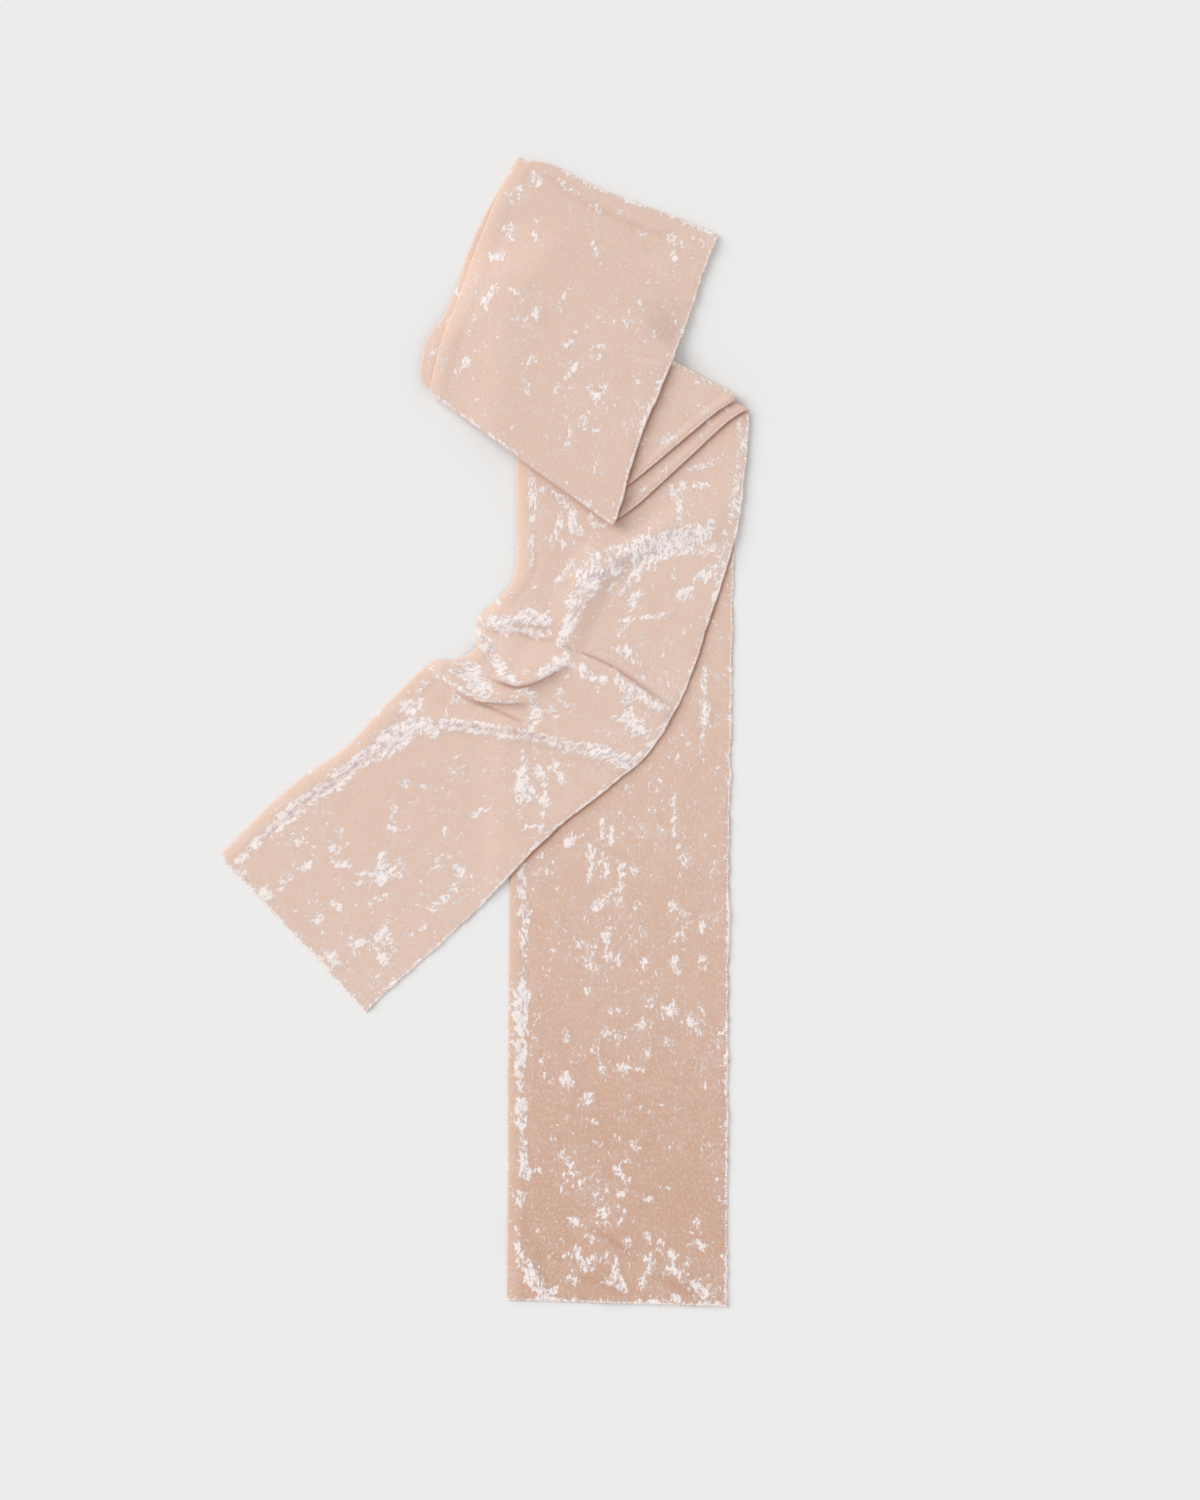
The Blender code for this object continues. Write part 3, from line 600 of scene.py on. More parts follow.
def raw_under_loop(points):
    """The highest ground felt round a point."""
    highest = np.zeros(len(points))
    for turn in range(FEELERS + 1):
        reach = 0.0 if turn == FEELERS else FEEL_RADIUS
        angle = math.tau * turn / FEELERS
        feelers = points + reach * np.array((math.cos(angle), math.sin(angle)))
        distance, spot = outside(feelers, TURN_PLAN)
        ground = raw_under_turn(spot) + 2 * LAYER
        highest = np.maximum(highest, ground * smooth_fall(distance, BRIDGE_OVER_TURN, FALL_OFF_TURN))
    return highest


under_short_tail = ground_map(raw_under_short_tail, blur=6.0)
under_turn = ground_map(raw_under_turn, blur=2.5)
under_loop = ground_map(raw_under_loop, blur=3.5)
print("the loop rides at most", under_loop(map_points(4.0)[2]).max().round(2), "mm above the table")

# %% [markdown]
# ## Rows of cloth
#
# A stretch is a grid: rows along the band, columns across it. Near each border the columns
# crowd together, because there the wall rounds off to nothing in the first two millimetres.
# For each grid point we keep its top and its bottom height. Where cloth folds over another
# layer, more rows carry the wall round the fold as a half circle.

# %% Rows and columns
EDGE_STEPS = (0.0, 0.12, 0.35, 0.7, 1.15, 1.7)


def spread_places(sections, pitch, fine_pitch=None, fine=()):
    """Places of rows about a pitch apart, counted in sections, and closer in the fine sections."""
    middles = [(np.array(s.seam) + np.array(s.fold)) / 2 for s in sections]
    places = [0.0]
    for index in range(len(sections) - 1):
        own_pitch = fine_pitch if index in fine else pitch
        count = max(round(float(np.hypot(*(middles[index + 1] - middles[index]))) / own_pitch), 2)
        places += [index + step / count for step in range(1, count + 1)]
    return np.array(places)


def crossings(sections, pitch, **finer):
    """Left and right ends of every row on smooth curves through the sections, and their places."""
    places = spread_places(sections, pitch, **finer)
    left = curve_through([s.fold for s in sections], places)
    return left, curve_through([s.seam for s in sections], places), places


def columns(left, right, pitch, shares=None):
    """Distance from the left border for each row and column, with rounding steps at both borders."""
    width = np.hypot(*(right - left).T)
    steps = np.array(EDGE_STEPS)
    if shares is None:
        count = max(round(float(width.max()) / pitch), 4)
        shares = np.arange(1, count) / count
    inner = steps[-1] + (width[:, None] - 2 * steps[-1]) * shares[None, :]
    first = np.repeat(steps[None, :], len(width), axis=0)
    return np.hstack((first, inner, width[:, None] - first[:, ::-1]))


left, right, _ = crossings(LONG_TAIL, 2.4)
print(len(left), "rows on the long tail,", columns(left, right, 2.0).shape[1], "columns")

# %% Ends of a stretch
def plan_grid(left, right, distances):
    share = distances / distances[:, -1:]
    return left[:, None, :] + (right - left)[:, None, :] * share[:, :, None]


def rounding(distance, radius):
    """Share of the wall's thickness at a distance from a rounded border."""
    depth = 1.0 - np.minimum(distance / radius, 1.0)
    return np.sqrt(np.maximum(1.0 - depth * depth, 0.0))


def away_from(left, right, end):
    """Unit direction out of a stretch, across its first row, or across its last one with end=-1."""
    before = -2 if end else 1
    line = (right[end] - left[end]) / np.hypot(*(right[end] - left[end]))
    normal = np.array((-line[1], line[0]))
    inward = (left[before] + right[before] - left[end] - right[end]) / 2
    return -normal if inward @ normal > 0 else normal


def with_end_rows(left, right, folded_start=False):
    """Adds rows at the rounding steps at both ends, or only at the end where the start is folded."""
    steps = np.array(EDGE_STEPS)[:, None]
    tail = away_from(left, right, -1) * steps[::-1]
    if folded_start:
        return [np.vstack((side[:-2], side[-1] - tail)) for side in (left, right)]
    head = away_from(left, right, 0) * steps
    return [np.vstack((side[0] - head, side[2:-2], side[-1] - tail)) for side in (left, right)]


def running_length(left, right):
    steps = np.hypot(*np.diff((left + right) / 2, axis=0).T)
    return np.concatenate(([0.0], np.cumsum(steps)))


print("steps at a rounded border:", rounding(np.array(EDGE_STEPS), EDGE_STEPS[-1]).round(2))

# %% Grid of a stretch
Rows = namedtuple("Rows", "grid flat from_fold from_seam lengths to_end")


def rows_of(left, right, distances, along=None):
    """The grid of a stretch, and how far each of its points lies from the borders and the ends."""
    along = running_length(left, right) if along is None else along
    grid = plan_grid(left, right, distances)
    lengths = np.repeat(along[:, None], distances.shape[1], axis=1)
    return Rows(grid, grid.reshape(-1, 2), distances, distances[:, -1:] - distances,
                lengths, along[-1] - lengths)


def moved(rows, shift):
    """The same grid with its points shifted in plan."""
    grid = rows.grid + shift
    return rows._replace(grid=grid, flat=grid.reshape(-1, 2))


def felt(field, rows):
    """What a map or a function of plan points says at every point of a grid."""
    return field(rows.flat).reshape(rows.lengths.shape)


def outside_of(plan, rows):
    return felt(lambda points: outside(points, plan)[0], rows)


def borders(rows, fold, seam, start=None, end=None):
    """Share of the wall left near each border, rounded off with that border's radius."""
    share = rounding(rows.from_fold, fold) * rounding(rows.from_seam, seam)
    for distance, radius in ((rows.lengths, start), (rows.to_end, end)):
        share = share * rounding(distance, radius) if radius else share
    return share


rows = rows_of(left, right, columns(left, right, 2.0))
print("the long tail's middle line is", round(float(rows.lengths.max())), "mm long")

# %% [markdown]
# ## The cloth as a mesh
#
# The finished piece is a thin hollow tube, as the real one is: an outer skin that closes round both borders, and an
# inner skin a ply's thickness inside it, turned the other way. Both are closed, so the mesh has no loose edge. Each
# point also carries what the finish needs: how crushed the pile is there, how far inside a broad mark it lies, how
# much painted shade it gets in a crease or beside the edge of a layer above it, its share of the deeper tone, and a
# map with the distance across and along the band.

# %% One stretch of cloth
Cloth = namedtuple("Cloth", "top bottom across along values")
# The crease value is painted shade: how much warm brown the finish lays in creases, hollows and beside the edges of
# layers above
POINT_VALUES = ("crush", "core", "tone", "crease")


def as_cloth(rows, low, high, border, **given):
    """A stretch between two heights, closing up at its borders, with nothing where it gives no value."""
    middle, half = (low + high) / 2, (high - low) / 2 * border
    values = {name: given.get(name, np.zeros(low.shape)) for name in POINT_VALUES}
    return Cloth(np.dstack((rows.grid, middle + half)), np.dstack((rows.grid, middle - half)),
                 rows.from_fold, rows.lengths, values)


flat_cloth = as_cloth(rows, 0.0 * rows.lengths, 0.0 * rows.lengths + WALL, borders(rows, 1.5, 1.5, 1.5, 1.5))
print("a stretch holds", " and ".join(flat_cloth.values), "at", flat_cloth.across.size, "points")

# %% Closed skins
PLY = 0.8
THINNEST_HOLLOW = 0.12
CLOSING_WALL = 0.2


def grid_faces(numbers):
    corners = numbers[:-1, :-1], numbers[:-1, 1:], numbers[1:, 1:], numbers[1:, :-1]
    return np.stack(corners, axis=-1).reshape(-1, 4)


def volume(points, quads):
    """Signed volume of a closed skin, positive where its faces point outwards."""
    a, b, c, d = (points[quads[:, corner]] for corner in range(4))
    return sum(np.einsum("ij,ij->i", a, np.cross(*pair)) for pair in ((b, c), (c, d))).sum() / 6.0


def closed_skin(top, bottom, outward):
    """Points and faces of a closed skin: two grids that share their rim."""
    rows, cols = top.shape[:2]
    upper = np.arange(rows * cols).reshape(rows, cols)
    lower = upper.copy()
    lower[1:-1, 1:-1] = rows * cols + np.arange((rows - 2) * (cols - 2)).reshape(rows - 2, cols - 2)
    faces = np.vstack((grid_faces(upper), grid_faces(lower)[:, ::-1]))
    points = np.vstack((top.reshape(-1, 3), bottom[1:-1, 1:-1].reshape(-1, 3)))
    return points, faces if (volume(points, faces) > 0) == outward else faces[:, ::-1]


def thinned(count, edge):
    """Every second index between the first and the last one that are kept."""
    return np.append(np.arange(edge, count - 1 - edge, 2), count - 1 - edge)


def lining_of(cloth):
    """Top and bottom of the inner skin: a ply's thickness inside the cloth, on a coarser grid."""
    pick = np.ix_(*(thinned(count, len(EDGE_STEPS) - 1) for count in cloth.top.shape[:2]))
    middle = (cloth.top[pick] + cloth.bottom[pick]) / 2
    half = (cloth.top[pick] - cloth.bottom[pick]) / 2
    depth = np.linalg.norm(half, axis=-1, keepdims=True)
    half *= np.maximum(depth - PLY, THINNEST_HOLLOW) / np.maximum(depth, CLOSING_WALL)
    half[[0, -1], :] = 0.0
    half[:, [0, -1]] = 0.0
    return middle + half, middle - half


print("a flat stretch has", len(closed_skin(flat_cloth.top, flat_cloth.bottom, True)[1]), "faces outside and",
      len(closed_skin(*lining_of(flat_cloth), False)[1]), "inside")

# %% Meshes in the scene
PLAN_SHIFT = (-0.8, 0.05)


def in_metres(points):
    """Points in metres, moved to where the frame has the scarf."""
    return (points + np.array((*PLAN_SHIFT, 0.0))) * MILLIMETRE


def put_in_scene(name, data):
    thing = bpy.data.objects.new(name, data)
    bpy.context.scene.collection.objects.link(thing)
    return thing


def write_mesh(name, points, faces, values):
    mesh = bpy.data.meshes.new(name)
    mesh.vertices.add(len(points))
    mesh.vertices.foreach_set("co", in_metres(points).ravel())
    mesh.loops.add(faces.size)
    mesh.loops.foreach_set("vertex_index", faces.ravel())
    mesh.polygons.add(len(faces))
    mesh.polygons.foreach_set("loop_start", np.arange(0, faces.size, 4))
    mesh.polygons.foreach_set("use_smooth", np.ones(len(faces), bool))
    mesh.update(calc_edges=True)
    for index, attribute in enumerate(POINT_VALUES):
        mesh.attributes.new(attribute, "FLOAT", "POINT").data.foreach_set("value", values[:, index])
    weave = mesh.uv_layers.new(name="weave")
    weave.data.foreach_set("uv", (values[faces.ravel()][:, -2:] * MILLIMETRE).ravel())
    mesh.validate()
    print(f"{name}: {len(points)} points, {len(faces)} quads, {volume(points, faces) / 1000:.1f} cm3 of velvet")
    return put_in_scene(name, mesh)


def velvet_mesh(name, cloths):
    """One mesh from one or more stretches: for each its outer skin, and its lining turned inwards."""
    points, faces, values = [], [], []
    for cloth in cloths:
        layers = np.stack([*cloth.values.values(), cloth.across, cloth.along], axis=-1)
        kinds = layers.shape[-1]
        for top, bottom, outward in ((cloth.top, cloth.bottom, True), (*lining_of(cloth), False)):
            skin, quads = closed_skin(top, bottom, outward)
            faces.append(quads + sum(map(len, points)))
            points.append(skin)
        values += [layers.reshape(-1, kinds), layers[1:-1, 1:-1].reshape(-1, kinds),
                   np.zeros((len(skin), kinds))]
    return write_mesh(name, *map(np.vstack, (points, faces, values)))


print("the scarf is moved by", PLAN_SHIFT, "mm to lie where the measured part lies")

# %% [markdown]
# ## Surface of the cloth
#
# A flat stretch still has life in it. The fold edge is a soft roll with a shallow trough behind
# it, where the dusty line of crushed pile runs. The seam edge is pulled a little by its thread:
# it puckers every centimetre and its outline wavers by half a millimetre. Under another layer
# the relief fades away, so that nothing pokes through.

# %% Relief and edges
PUCKER_PITCH = 9.0
EDGE_WAVER = 0.45
FOLD_WAVER = 0.12
CRUSH_LIFT = 0.22

# Rolls and troughs along an edge: height, distance from the edge and width
FOLD_ROLL = (0.45, 5.0, 3.6)
FOLD_TROUGH = (-0.3, 14.5, 3.2)
SEAM_DIP = (-0.35, 0.0, 3.0)


def bell(distance, width):
    return np.exp(-(distance / width) ** 2)


def across_way(left, right):
    return (right - left) / np.hypot(*(right - left).T)[:, None]


def wavering(left, right, amount, fold_amount):
    """Moves the seam ends of the rows in and out a little, and the fold ends less."""
    line = across_way(left, right)
    right = right + line * (amount * RIPPLES(right) * 0.6 + amount * CRINKLES(right) * 0.35)[:, None]
    return left + line * (fold_amount * RIPPLES(left))[:, None], right


def puckers(rows, phase, width):
    """The seam's thread pulls the edge into even waves that die away towards the middle."""
    wave = np.sin(2 * np.pi * rows.lengths / PUCKER_PITCH + phase * felt(RIPPLES, rows))
    return wave * bell(rows.from_seam, width)


def rolls(distance, *shapes):
    return sum(height * bell(distance - place, width) for height, place, width in shapes)


def flat_relief(rows):
    """Lift of an open surface: roll and trough at the fold, puckers at the seam, soft swells."""
    roll = rolls(rows.from_fold, FOLD_ROLL, FOLD_TROUGH)
    seam = 0.28 * puckers(rows, 2.2, 4.5) + rolls(rows.from_seam, SEAM_DIP)
    swells = 0.22 * felt(SWELLS, rows) + 0.08 * felt(RIPPLES, rows)
    return roll + seam + swells * rounding(np.minimum(rows.from_fold, rows.from_seam), 12.0)


def lifted(rows, high, open_share, crush):
    """The top of a stretch, with its relief and its crushed crinkles where it lies open."""
    return high + (flat_relief(rows) + CRUSH_LIFT * crush * felt(CRINKLES, rows)) * open_share


print("sewn edges waver by about", EDGE_WAVER, "mm and pucker every", PUCKER_PITCH, "mm")

# %% Crush, shade and creases
# A mark is full within a share of its half width, then fades; a broad one has a core
MARK_FULL = 0.7
MARK_REACH = 1.25
MARK_FADE = 1.5
CORE_INSET = 0.8
CORE_FADE = 3.0


def crushed(rows, marks):
    """How crushed the marks leave the pile at each point, and how deep it lies inside a broad mark."""
    points = rows.flat
    amount, core = np.zeros((2, len(points)))
    for mark in marks:
        line = np.array([from_picture(spot) for spot in mark.spots])
        line = np.vstack((line, line + 0.01)) if len(line) == 1 else line
        half = mark.width * MILLIMETRES_PER_PIXEL / 2
        reach = half * MARK_REACH + MARK_FADE
        near = np.all((points > line.min(axis=0) - reach) & (points < line.max(axis=0) + reach), axis=1)
        if near.any():
            distance = nearest_on_line(points[near], line)[0]
            own = mark.strength * smooth_fall(distance, half * MARK_FULL, reach - half * MARK_FULL)
            amount[near] = np.maximum(amount[near], own)
            inner = np.clip((half - CORE_INSET - distance) / CORE_FADE, 0.0, 1.0)
            core[near] = np.maximum(core[near], inner)
    return amount.reshape(rows.lengths.shape), core.reshape(rows.lengths.shape)


def beside(rows, plans):
    """Warm shade on cloth that lies right beside the edge of a layer above it."""
    distance = np.minimum.reduce([outside_of(plan, rows) for plan in plans])
    return 0.85 * bell(distance, 1.6) + 0.20 * bell(distance, 7.5)


def grooved(rows, creases):
    """Depth of the sharp creases at each point."""
    depth = np.zeros(len(rows.flat))
    for crease in creases:
        line = smooth_line([from_picture(spot) for spot in crease.spots], 6)
        distance, place = nearest_on_line(rows.flat, line)[:2]
        swell = np.sin(np.pi * np.clip(0.06 + 0.88 * place, 0.0, 1.0)) ** 0.5
        depth = np.maximum(depth, crease.depth * swell * bell(distance, crease.width))
    return depth.reshape(rows.lengths.shape)


def edge_dust(rows, distance):
    """The pile is crushed along a sewn edge too, in a thin broken line."""
    return bell(distance, 1.9) * (0.95 + 0.25 * felt(RIPPLES, rows)) + 0.35 * bell(distance, 4.5)


print("crush over the long tail:", crushed(rows, LONG_TAIL_MARKS)[0].mean().round(3), "on the whole")

# %% [markdown]
# ## The long tail
#
# The straight tail is the lowest layer. It ends in a plain sewn hem at the bottom, where three
# low waves stand up from the table, and at the top in the fold that turns the band back. It is
# a single grid with rows 2.4 mm apart, fine enough to carry the crush marks.

# %% Long tail
ROW_PITCH = 2.4
COLUMN_PITCH = 2.0
HEM_WAVE_RISE = 30.0
CREASE_SHARE = 0.6
DEEPER_BELOW = 120.0
DEEPEST_AFTER = 480.0

# Radii of the rounded borders, at the fold edge and the seam edge, and at the two sewn ends
OPEN_BORDERS = (1.7, 1.1)
SEWN_ENDS = (1.5, 1.5)


def build_long_tail():
    left, right, _ = crossings(LONG_TAIL, ROW_PITCH)
    left, right = wavering(*with_end_rows(left, right), EDGE_WAVER, FOLD_WAVER)
    rows = rows_of(left, right, columns(left, right, COLUMN_PITCH))
    low = felt(lambda points: folds_height(points, HEM_WAVES)[0], rows)
    low *= rounding(rows.lengths, HEM_WAVE_RISE) ** 0.5
    crush, core = crushed(rows, LONG_TAIL_MARKS)
    crush = np.maximum.reduce([crush, edge_dust(rows, rows.from_seam), edge_dust(rows, rows.lengths)])
    grooves = CREASE_SHARE * grooved(rows, LONG_TAIL_CREASES)
    open_share = 1.0 - smooth_fall(outside_of(SHORT_TAIL_PLAN, rows), 1.0, 8.0)
    high = lifted(rows, low + WALL - grooves, open_share, crush)
    tone = np.clip((DEEPER_BELOW - rows.grid[..., 1]) / DEEPEST_AFTER, 0.0, 1.0) ** 1.2
    # painted shade: the crease value darkens the hem hollows and the cloth beside the short tail's edge
    return as_cloth(rows, low, high, borders(rows, *OPEN_BORDERS, *SEWN_ENDS), crush=crush, core=core, tone=tone,
                    crease=np.maximum(grooves, beside(rows, [SHORT_TAIL_PLAN])))


long_tail_rows = build_long_tail()
long_tail = velvet_mesh("long_tail_cloth", [long_tail_rows])

# %% [markdown]
# ## The short tail and its gathers
#
# The second tail lies on the first, bends to the left and runs down to its own hem. Where it
# bends, its inner edge is too long for its place, so it gathers into ridges with crisp lips.
# The rows fan out round the bend, and the crests lean over their steep side.

# %% Short tail
GATHERED_SECTIONS = range(4, 11)
GATHERED_PITCH = 1.35
GATHERED_SHARE = 0.6
GATHERED_COLUMNS = 64
SMOOTH_COLUMNS = 29
STEEPEST = 1.6
LEAN_FADE = 8.0
CREASE_SHADE = 0.8


def build_short_tail():
    left, right, _ = crossings(SHORT_TAIL, ROW_PITCH, fine_pitch=GATHERED_PITCH, fine=GATHERED_SECTIONS)
    left, right = wavering(*with_end_rows(left, right), EDGE_WAVER, FOLD_WAVER)
    shares = np.concatenate((np.linspace(0.0, GATHERED_SHARE, GATHERED_COLUMNS, endpoint=False)[1:],
                             np.linspace(GATHERED_SHARE, 1.0, SMOOTH_COLUMNS, endpoint=False)))
    rows = rows_of(left, right, columns(left, right, None, shares))
    freedom = felt(freedom_from_turn, rows)
    gathers, push = folds_height(rows.flat, GATHERS)
    ground = felt(under_short_tail, rows)
    over = ground + gathers.reshape(ground.shape) * freedom + WALL
    slope = [felt(raw_over_short_tail, moved(rows, way)) - felt(raw_over_short_tail, moved(rows, -way))
             for way in np.eye(2)]
    low = np.maximum(ground, over - WALL * np.minimum(np.hypot(1.0, np.hypot(*slope) / 2), STEEPEST))
    crush, core = crushed(rows, SHORT_TAIL_MARKS)
    crush = np.maximum.reduce([crush, edge_dust(rows, rows.from_seam), edge_dust(rows, rows.to_end)])
    grooves = grooved(rows, SHORT_TAIL_CREASES)
    high = lifted(rows, over - grooves, freedom, crush)
    fade = freedom * rounding(rows.from_fold, LEAN_FADE) * rounding(rows.from_seam, LEAN_FADE)
    # painted shade in the creases and beside the edges of the loop and the lower wedge
    crease = np.maximum(np.clip(grooves, 0.0, 1.0) * CREASE_SHADE, beside(rows, [LOOP_PLAN, LOWER_WEDGE_PLAN]))
    return as_cloth(moved(rows, push.reshape(rows.grid.shape) * fade[..., None]), low, high,
                    borders(rows, *OPEN_BORDERS, *SEWN_ENDS), crush=crush, core=core, crease=crease)


short_tail_rows = build_short_tail()
short_tail = velvet_mesh("short_tail_cloth", [short_tail_rows])

# %% [markdown]
# ## The turn
#
# At the top of both tails the band folds over itself to the left. Its two turned stretches show
# as narrow wedges between the tails and the loop. The lower one ends inside the fold, the upper
# one goes round the outside of it, so its rows go on through a half circle down to the table.
# What the loop hides of them is built as two plain layers, so that nothing is left hollow.

# %% Folded ends
FOLD_ANGLES = np.array((7, 14, 22, 32, 44, 56, 68, 80, 90, 100, 112, 124, 138, 152, 164, 172, 177, 180))
FOLD_DUST_AT = 0.8
FOLD_DUST_WIDTH = 2.0


def corner_inset(to_end, radius):
    """How far a rounded corner pulls a border in, at a distance from the end of the cloth."""
    short = np.clip(radius - np.asarray(to_end, float), 0.0, radius)
    return radius - np.sqrt(radius ** 2 - short ** 2) if radius else short


def fold_dust(ripples, run, radius):
    """The pile is crushed in a thin broken line along the visible edge of a fold."""
    return 1.35 * bell(run - FOLD_DUST_AT * radius, FOLD_DUST_WIDTH) * (0.9 + 0.25 * ripples)


def nose(left, right, direction, high, distances, radius_out, corner=0.0, bow=0.0):
    """Rows that carry a wall round a fold: outer and inner points from the top to the bottom."""
    middle_radius = radius_out - WALL / 2
    outer, inner = [], []
    line = (right - left) / np.hypot(*(right - left))
    already = corner_inset(radius_out, corner)
    for angle in FOLD_ANGLES:
        reach, rise = math.sin(math.radians(angle)), math.cos(math.radians(angle))
        closing = rounding(np.array([(180 - angle) / 180 * math.pi * middle_radius]), 1.2)[0]
        half = WALL / 2 * closing * rounding(np.minimum(distances, distances[-1] - distances), 1.5)
        pulled = left + line * (corner_inset(radius_out * (1.0 - reach), corner) - already)
        spot = plan_grid(pulled[None, :], right[None, :], distances[None, :])[0]
        for side, radius in ((outer, middle_radius + half), (inner, middle_radius - half)):
            plan = spot + direction * (radius * reach + bow)[:, None]
            side.append(np.column_stack((plan, np.maximum(high - radius_out + radius * rise, 0.0))))
    return np.array(outer), np.array(inner)


def folded_on(cloth, rows, left, right, way, high, radius, end=0, **shape):
    """A stretch of cloth carried on round the fold before its first row, or after its last with end=-1."""
    across = rows.from_fold[end]
    outer, inner = nose(left[end], right[end], way, high[end], across, radius, **shape)
    run = radius * np.radians(FOLD_ANGLES)[:, None] + 0.0 * across
    dust = fold_dust(RIPPLES(rows.grid[end]), run, radius)

    def joined(values, more):
        return np.concatenate((values, more) if end else (more[::-1], values))

    values = {name: joined(given, dust if name == "crush" else 0.0 * run)
              for name, given in cloth.values.items()}
    return Cloth(joined(cloth.top, outer), joined(cloth.bottom, inner), joined(cloth.across, across + 0.0 * run),
                 joined(cloth.along, rows.lengths[end] + (run if end else -run)), values)


print(len(FOLD_ANGLES), "rows go round a fold of", INNER_FOLD, "or", round(OUTER_FOLD, 2), "mm")

# %% Wedges of the turn
WEDGE_PITCH = 2.2
WEDGE_ROLL = (0.55, 4.2, 2.6)
WEDGE_TROUGH = (-0.3, 9.5, 2.2)
WEDGE_BORDERS = (1.5, 2.2)


def build_wedge(wedges, lift, radius, marks, covers):
    left, right, _ = crossings(wedges, WEDGE_PITCH)
    left, right = with_end_rows(left, right, folded_start=bool(radius))
    rows = rows_of(left, right, columns(left, right, WEDGE_PITCH))
    low = felt(under_turn, rows) + lift
    relief = 0.25 * puckers(rows, 2.0, 4.0) + 0.15 * felt(SWELLS, rows)
    relief += rolls(rows.from_seam, WEDGE_ROLL, WEDGE_TROUGH)
    high = low + WALL + relief * rounding(np.maximum(rows.from_fold - 6.0, 0.0), 10.0)
    crush = crushed(rows, marks)[0]
    if radius:
        crush = np.maximum(crush, fold_dust(felt(RIPPLES, rows), -rows.lengths, radius))
    ends = (None, SEWN_ENDS[1]) if radius else SEWN_ENDS
    # painted shade beside the edges of the layers that cover the wedge
    cloth = as_cloth(rows, low, high, borders(rows, *WEDGE_BORDERS, *ends), crush=crush,
                     crease=beside(rows, covers))
    return folded_on(cloth, rows, left, right, away_from(left, right, 0), high, radius) if radius else cloth


turn_lower_rows = build_wedge(TURN_LOWER, 0.0, None, TURN_LOWER_MARKS, [LOOP_PLAN, UPPER_WEDGE_PLAN])
turn_lower = velvet_mesh("turn_lower_cloth", [turn_lower_rows])
turn_upper_rows = build_wedge(TURN_UPPER, LAYER, OUTER_FOLD, TURN_UPPER_MARKS, [LOOP_PLAN])
turn_upper = velvet_mesh("turn_upper_cloth", [turn_upper_rows])

# %% Hidden part of the turn
HIDDEN_BORDERS = (1.5, 1.5)
HIDDEN_END = 5.0


def build_hidden_layer(lift, pitch=5.0):
    left, right, _ = crossings(HIDDEN_TURN, pitch)
    rows = rows_of(left, right, columns(left, right, pitch))
    low = felt(under_turn, rows) + lift
    return as_cloth(rows, low, low + WALL, borders(rows, *HIDDEN_BORDERS, HIDDEN_END, HIDDEN_END))


hidden_turn = velvet_mesh("hidden_turn_cloth", [build_hidden_layer(0.0), build_hidden_layer(LAYER)])

# %% [markdown]
# ## The loop
#
# The loop runs up from the turn, folds crosswise at its top and comes back down over itself, to
# end in the round nose that leads under it into the turn. Its back layer peeps out along the
# left edge. The front layer is one sheet with a fold at each end, the upper one tight and the
# lower one round four layers.

# %% Back of the loop
EDGE_DROOP = 0.85
DROOP_WIDTH = 19.0
BACK_PITCH = 2.8
BACK_CORNER = 13.0
CORNER_PULL = 4.5
BACK_WAVER = 0.3
BACK_INSIDE_SEAM = 0.6
PEEP_SMOOTHING = 7


def under_drooping_loop(rows):
    """Ground under the loop, lower along its seam edge, where nothing holds the edge up."""
    free = 1.0 - smooth_fall(outside_of(TURN_PLAN, rows), 2.0, 13.0)
    return felt(under_loop, rows) * (1.0 - EDGE_DROOP * free * bell(rows.from_seam, DROOP_WIDTH))


def build_loop_back():
    left, right, places = crossings(LOOP, BACK_PITCH)
    reach = np.pad(np.interp(places, PEEP_PLACES, PEEP_REACHES), PEEP_SMOOTHING // 2, mode="edge")
    reach = np.convolve(reach, np.ones(PEEP_SMOOTHING) / PEEP_SMOOTHING, mode="valid")
    line = across_way(left, right)
    left, right = left - line * reach[:, None], right - line * BACK_INSIDE_SEAM
    along = running_length(left, right)
    left = left + line * corner_inset(along[-1] - along, BACK_CORNER)[:, None]
    end = away_from(left, right, -1)
    left, right = wavering(*with_end_rows(left, right), BACK_WAVER, BACK_WAVER)
    rows = rows_of(left, right, columns(left, right, BACK_PITCH))
    pull = CORNER_PULL * smooth_fall(rows.from_fold, 7.0, 8.0) * smooth_fall(rows.to_end, 0.0, 25.0)
    rows = moved(rows, end * pull[:, :, None])
    low = under_drooping_loop(rows)
    return as_cloth(rows, low, low + WALL, borders(rows, *HIDDEN_BORDERS, *SEWN_ENDS),
                    crush=crushed(rows, LOOP_BACK_MARKS)[0])


loop_back = velvet_mesh("loop_back_cloth", [build_loop_back()])

# %% Front of the loop
LOOP_CORNER = 6.0
FRONT_PITCHES = (2.3, 2.2)
GROOVE_SHADE = 0.7
FOLDED_WITHIN = 10.0

# How far the loop's upper fold bows out, in millimetres, at distances from its fold edge
TOP_BOW = ((0.0, 0.0), (6.0, -0.6), (14.0, 1.6), (26.0, 3.3), (44.0, 1.8), (62.0, 0.1),
           (100.0, 0.4), (130.0, 1.2), (150.0, 0.9), (160.0, 0.0))
BOW_FADE = 45.0


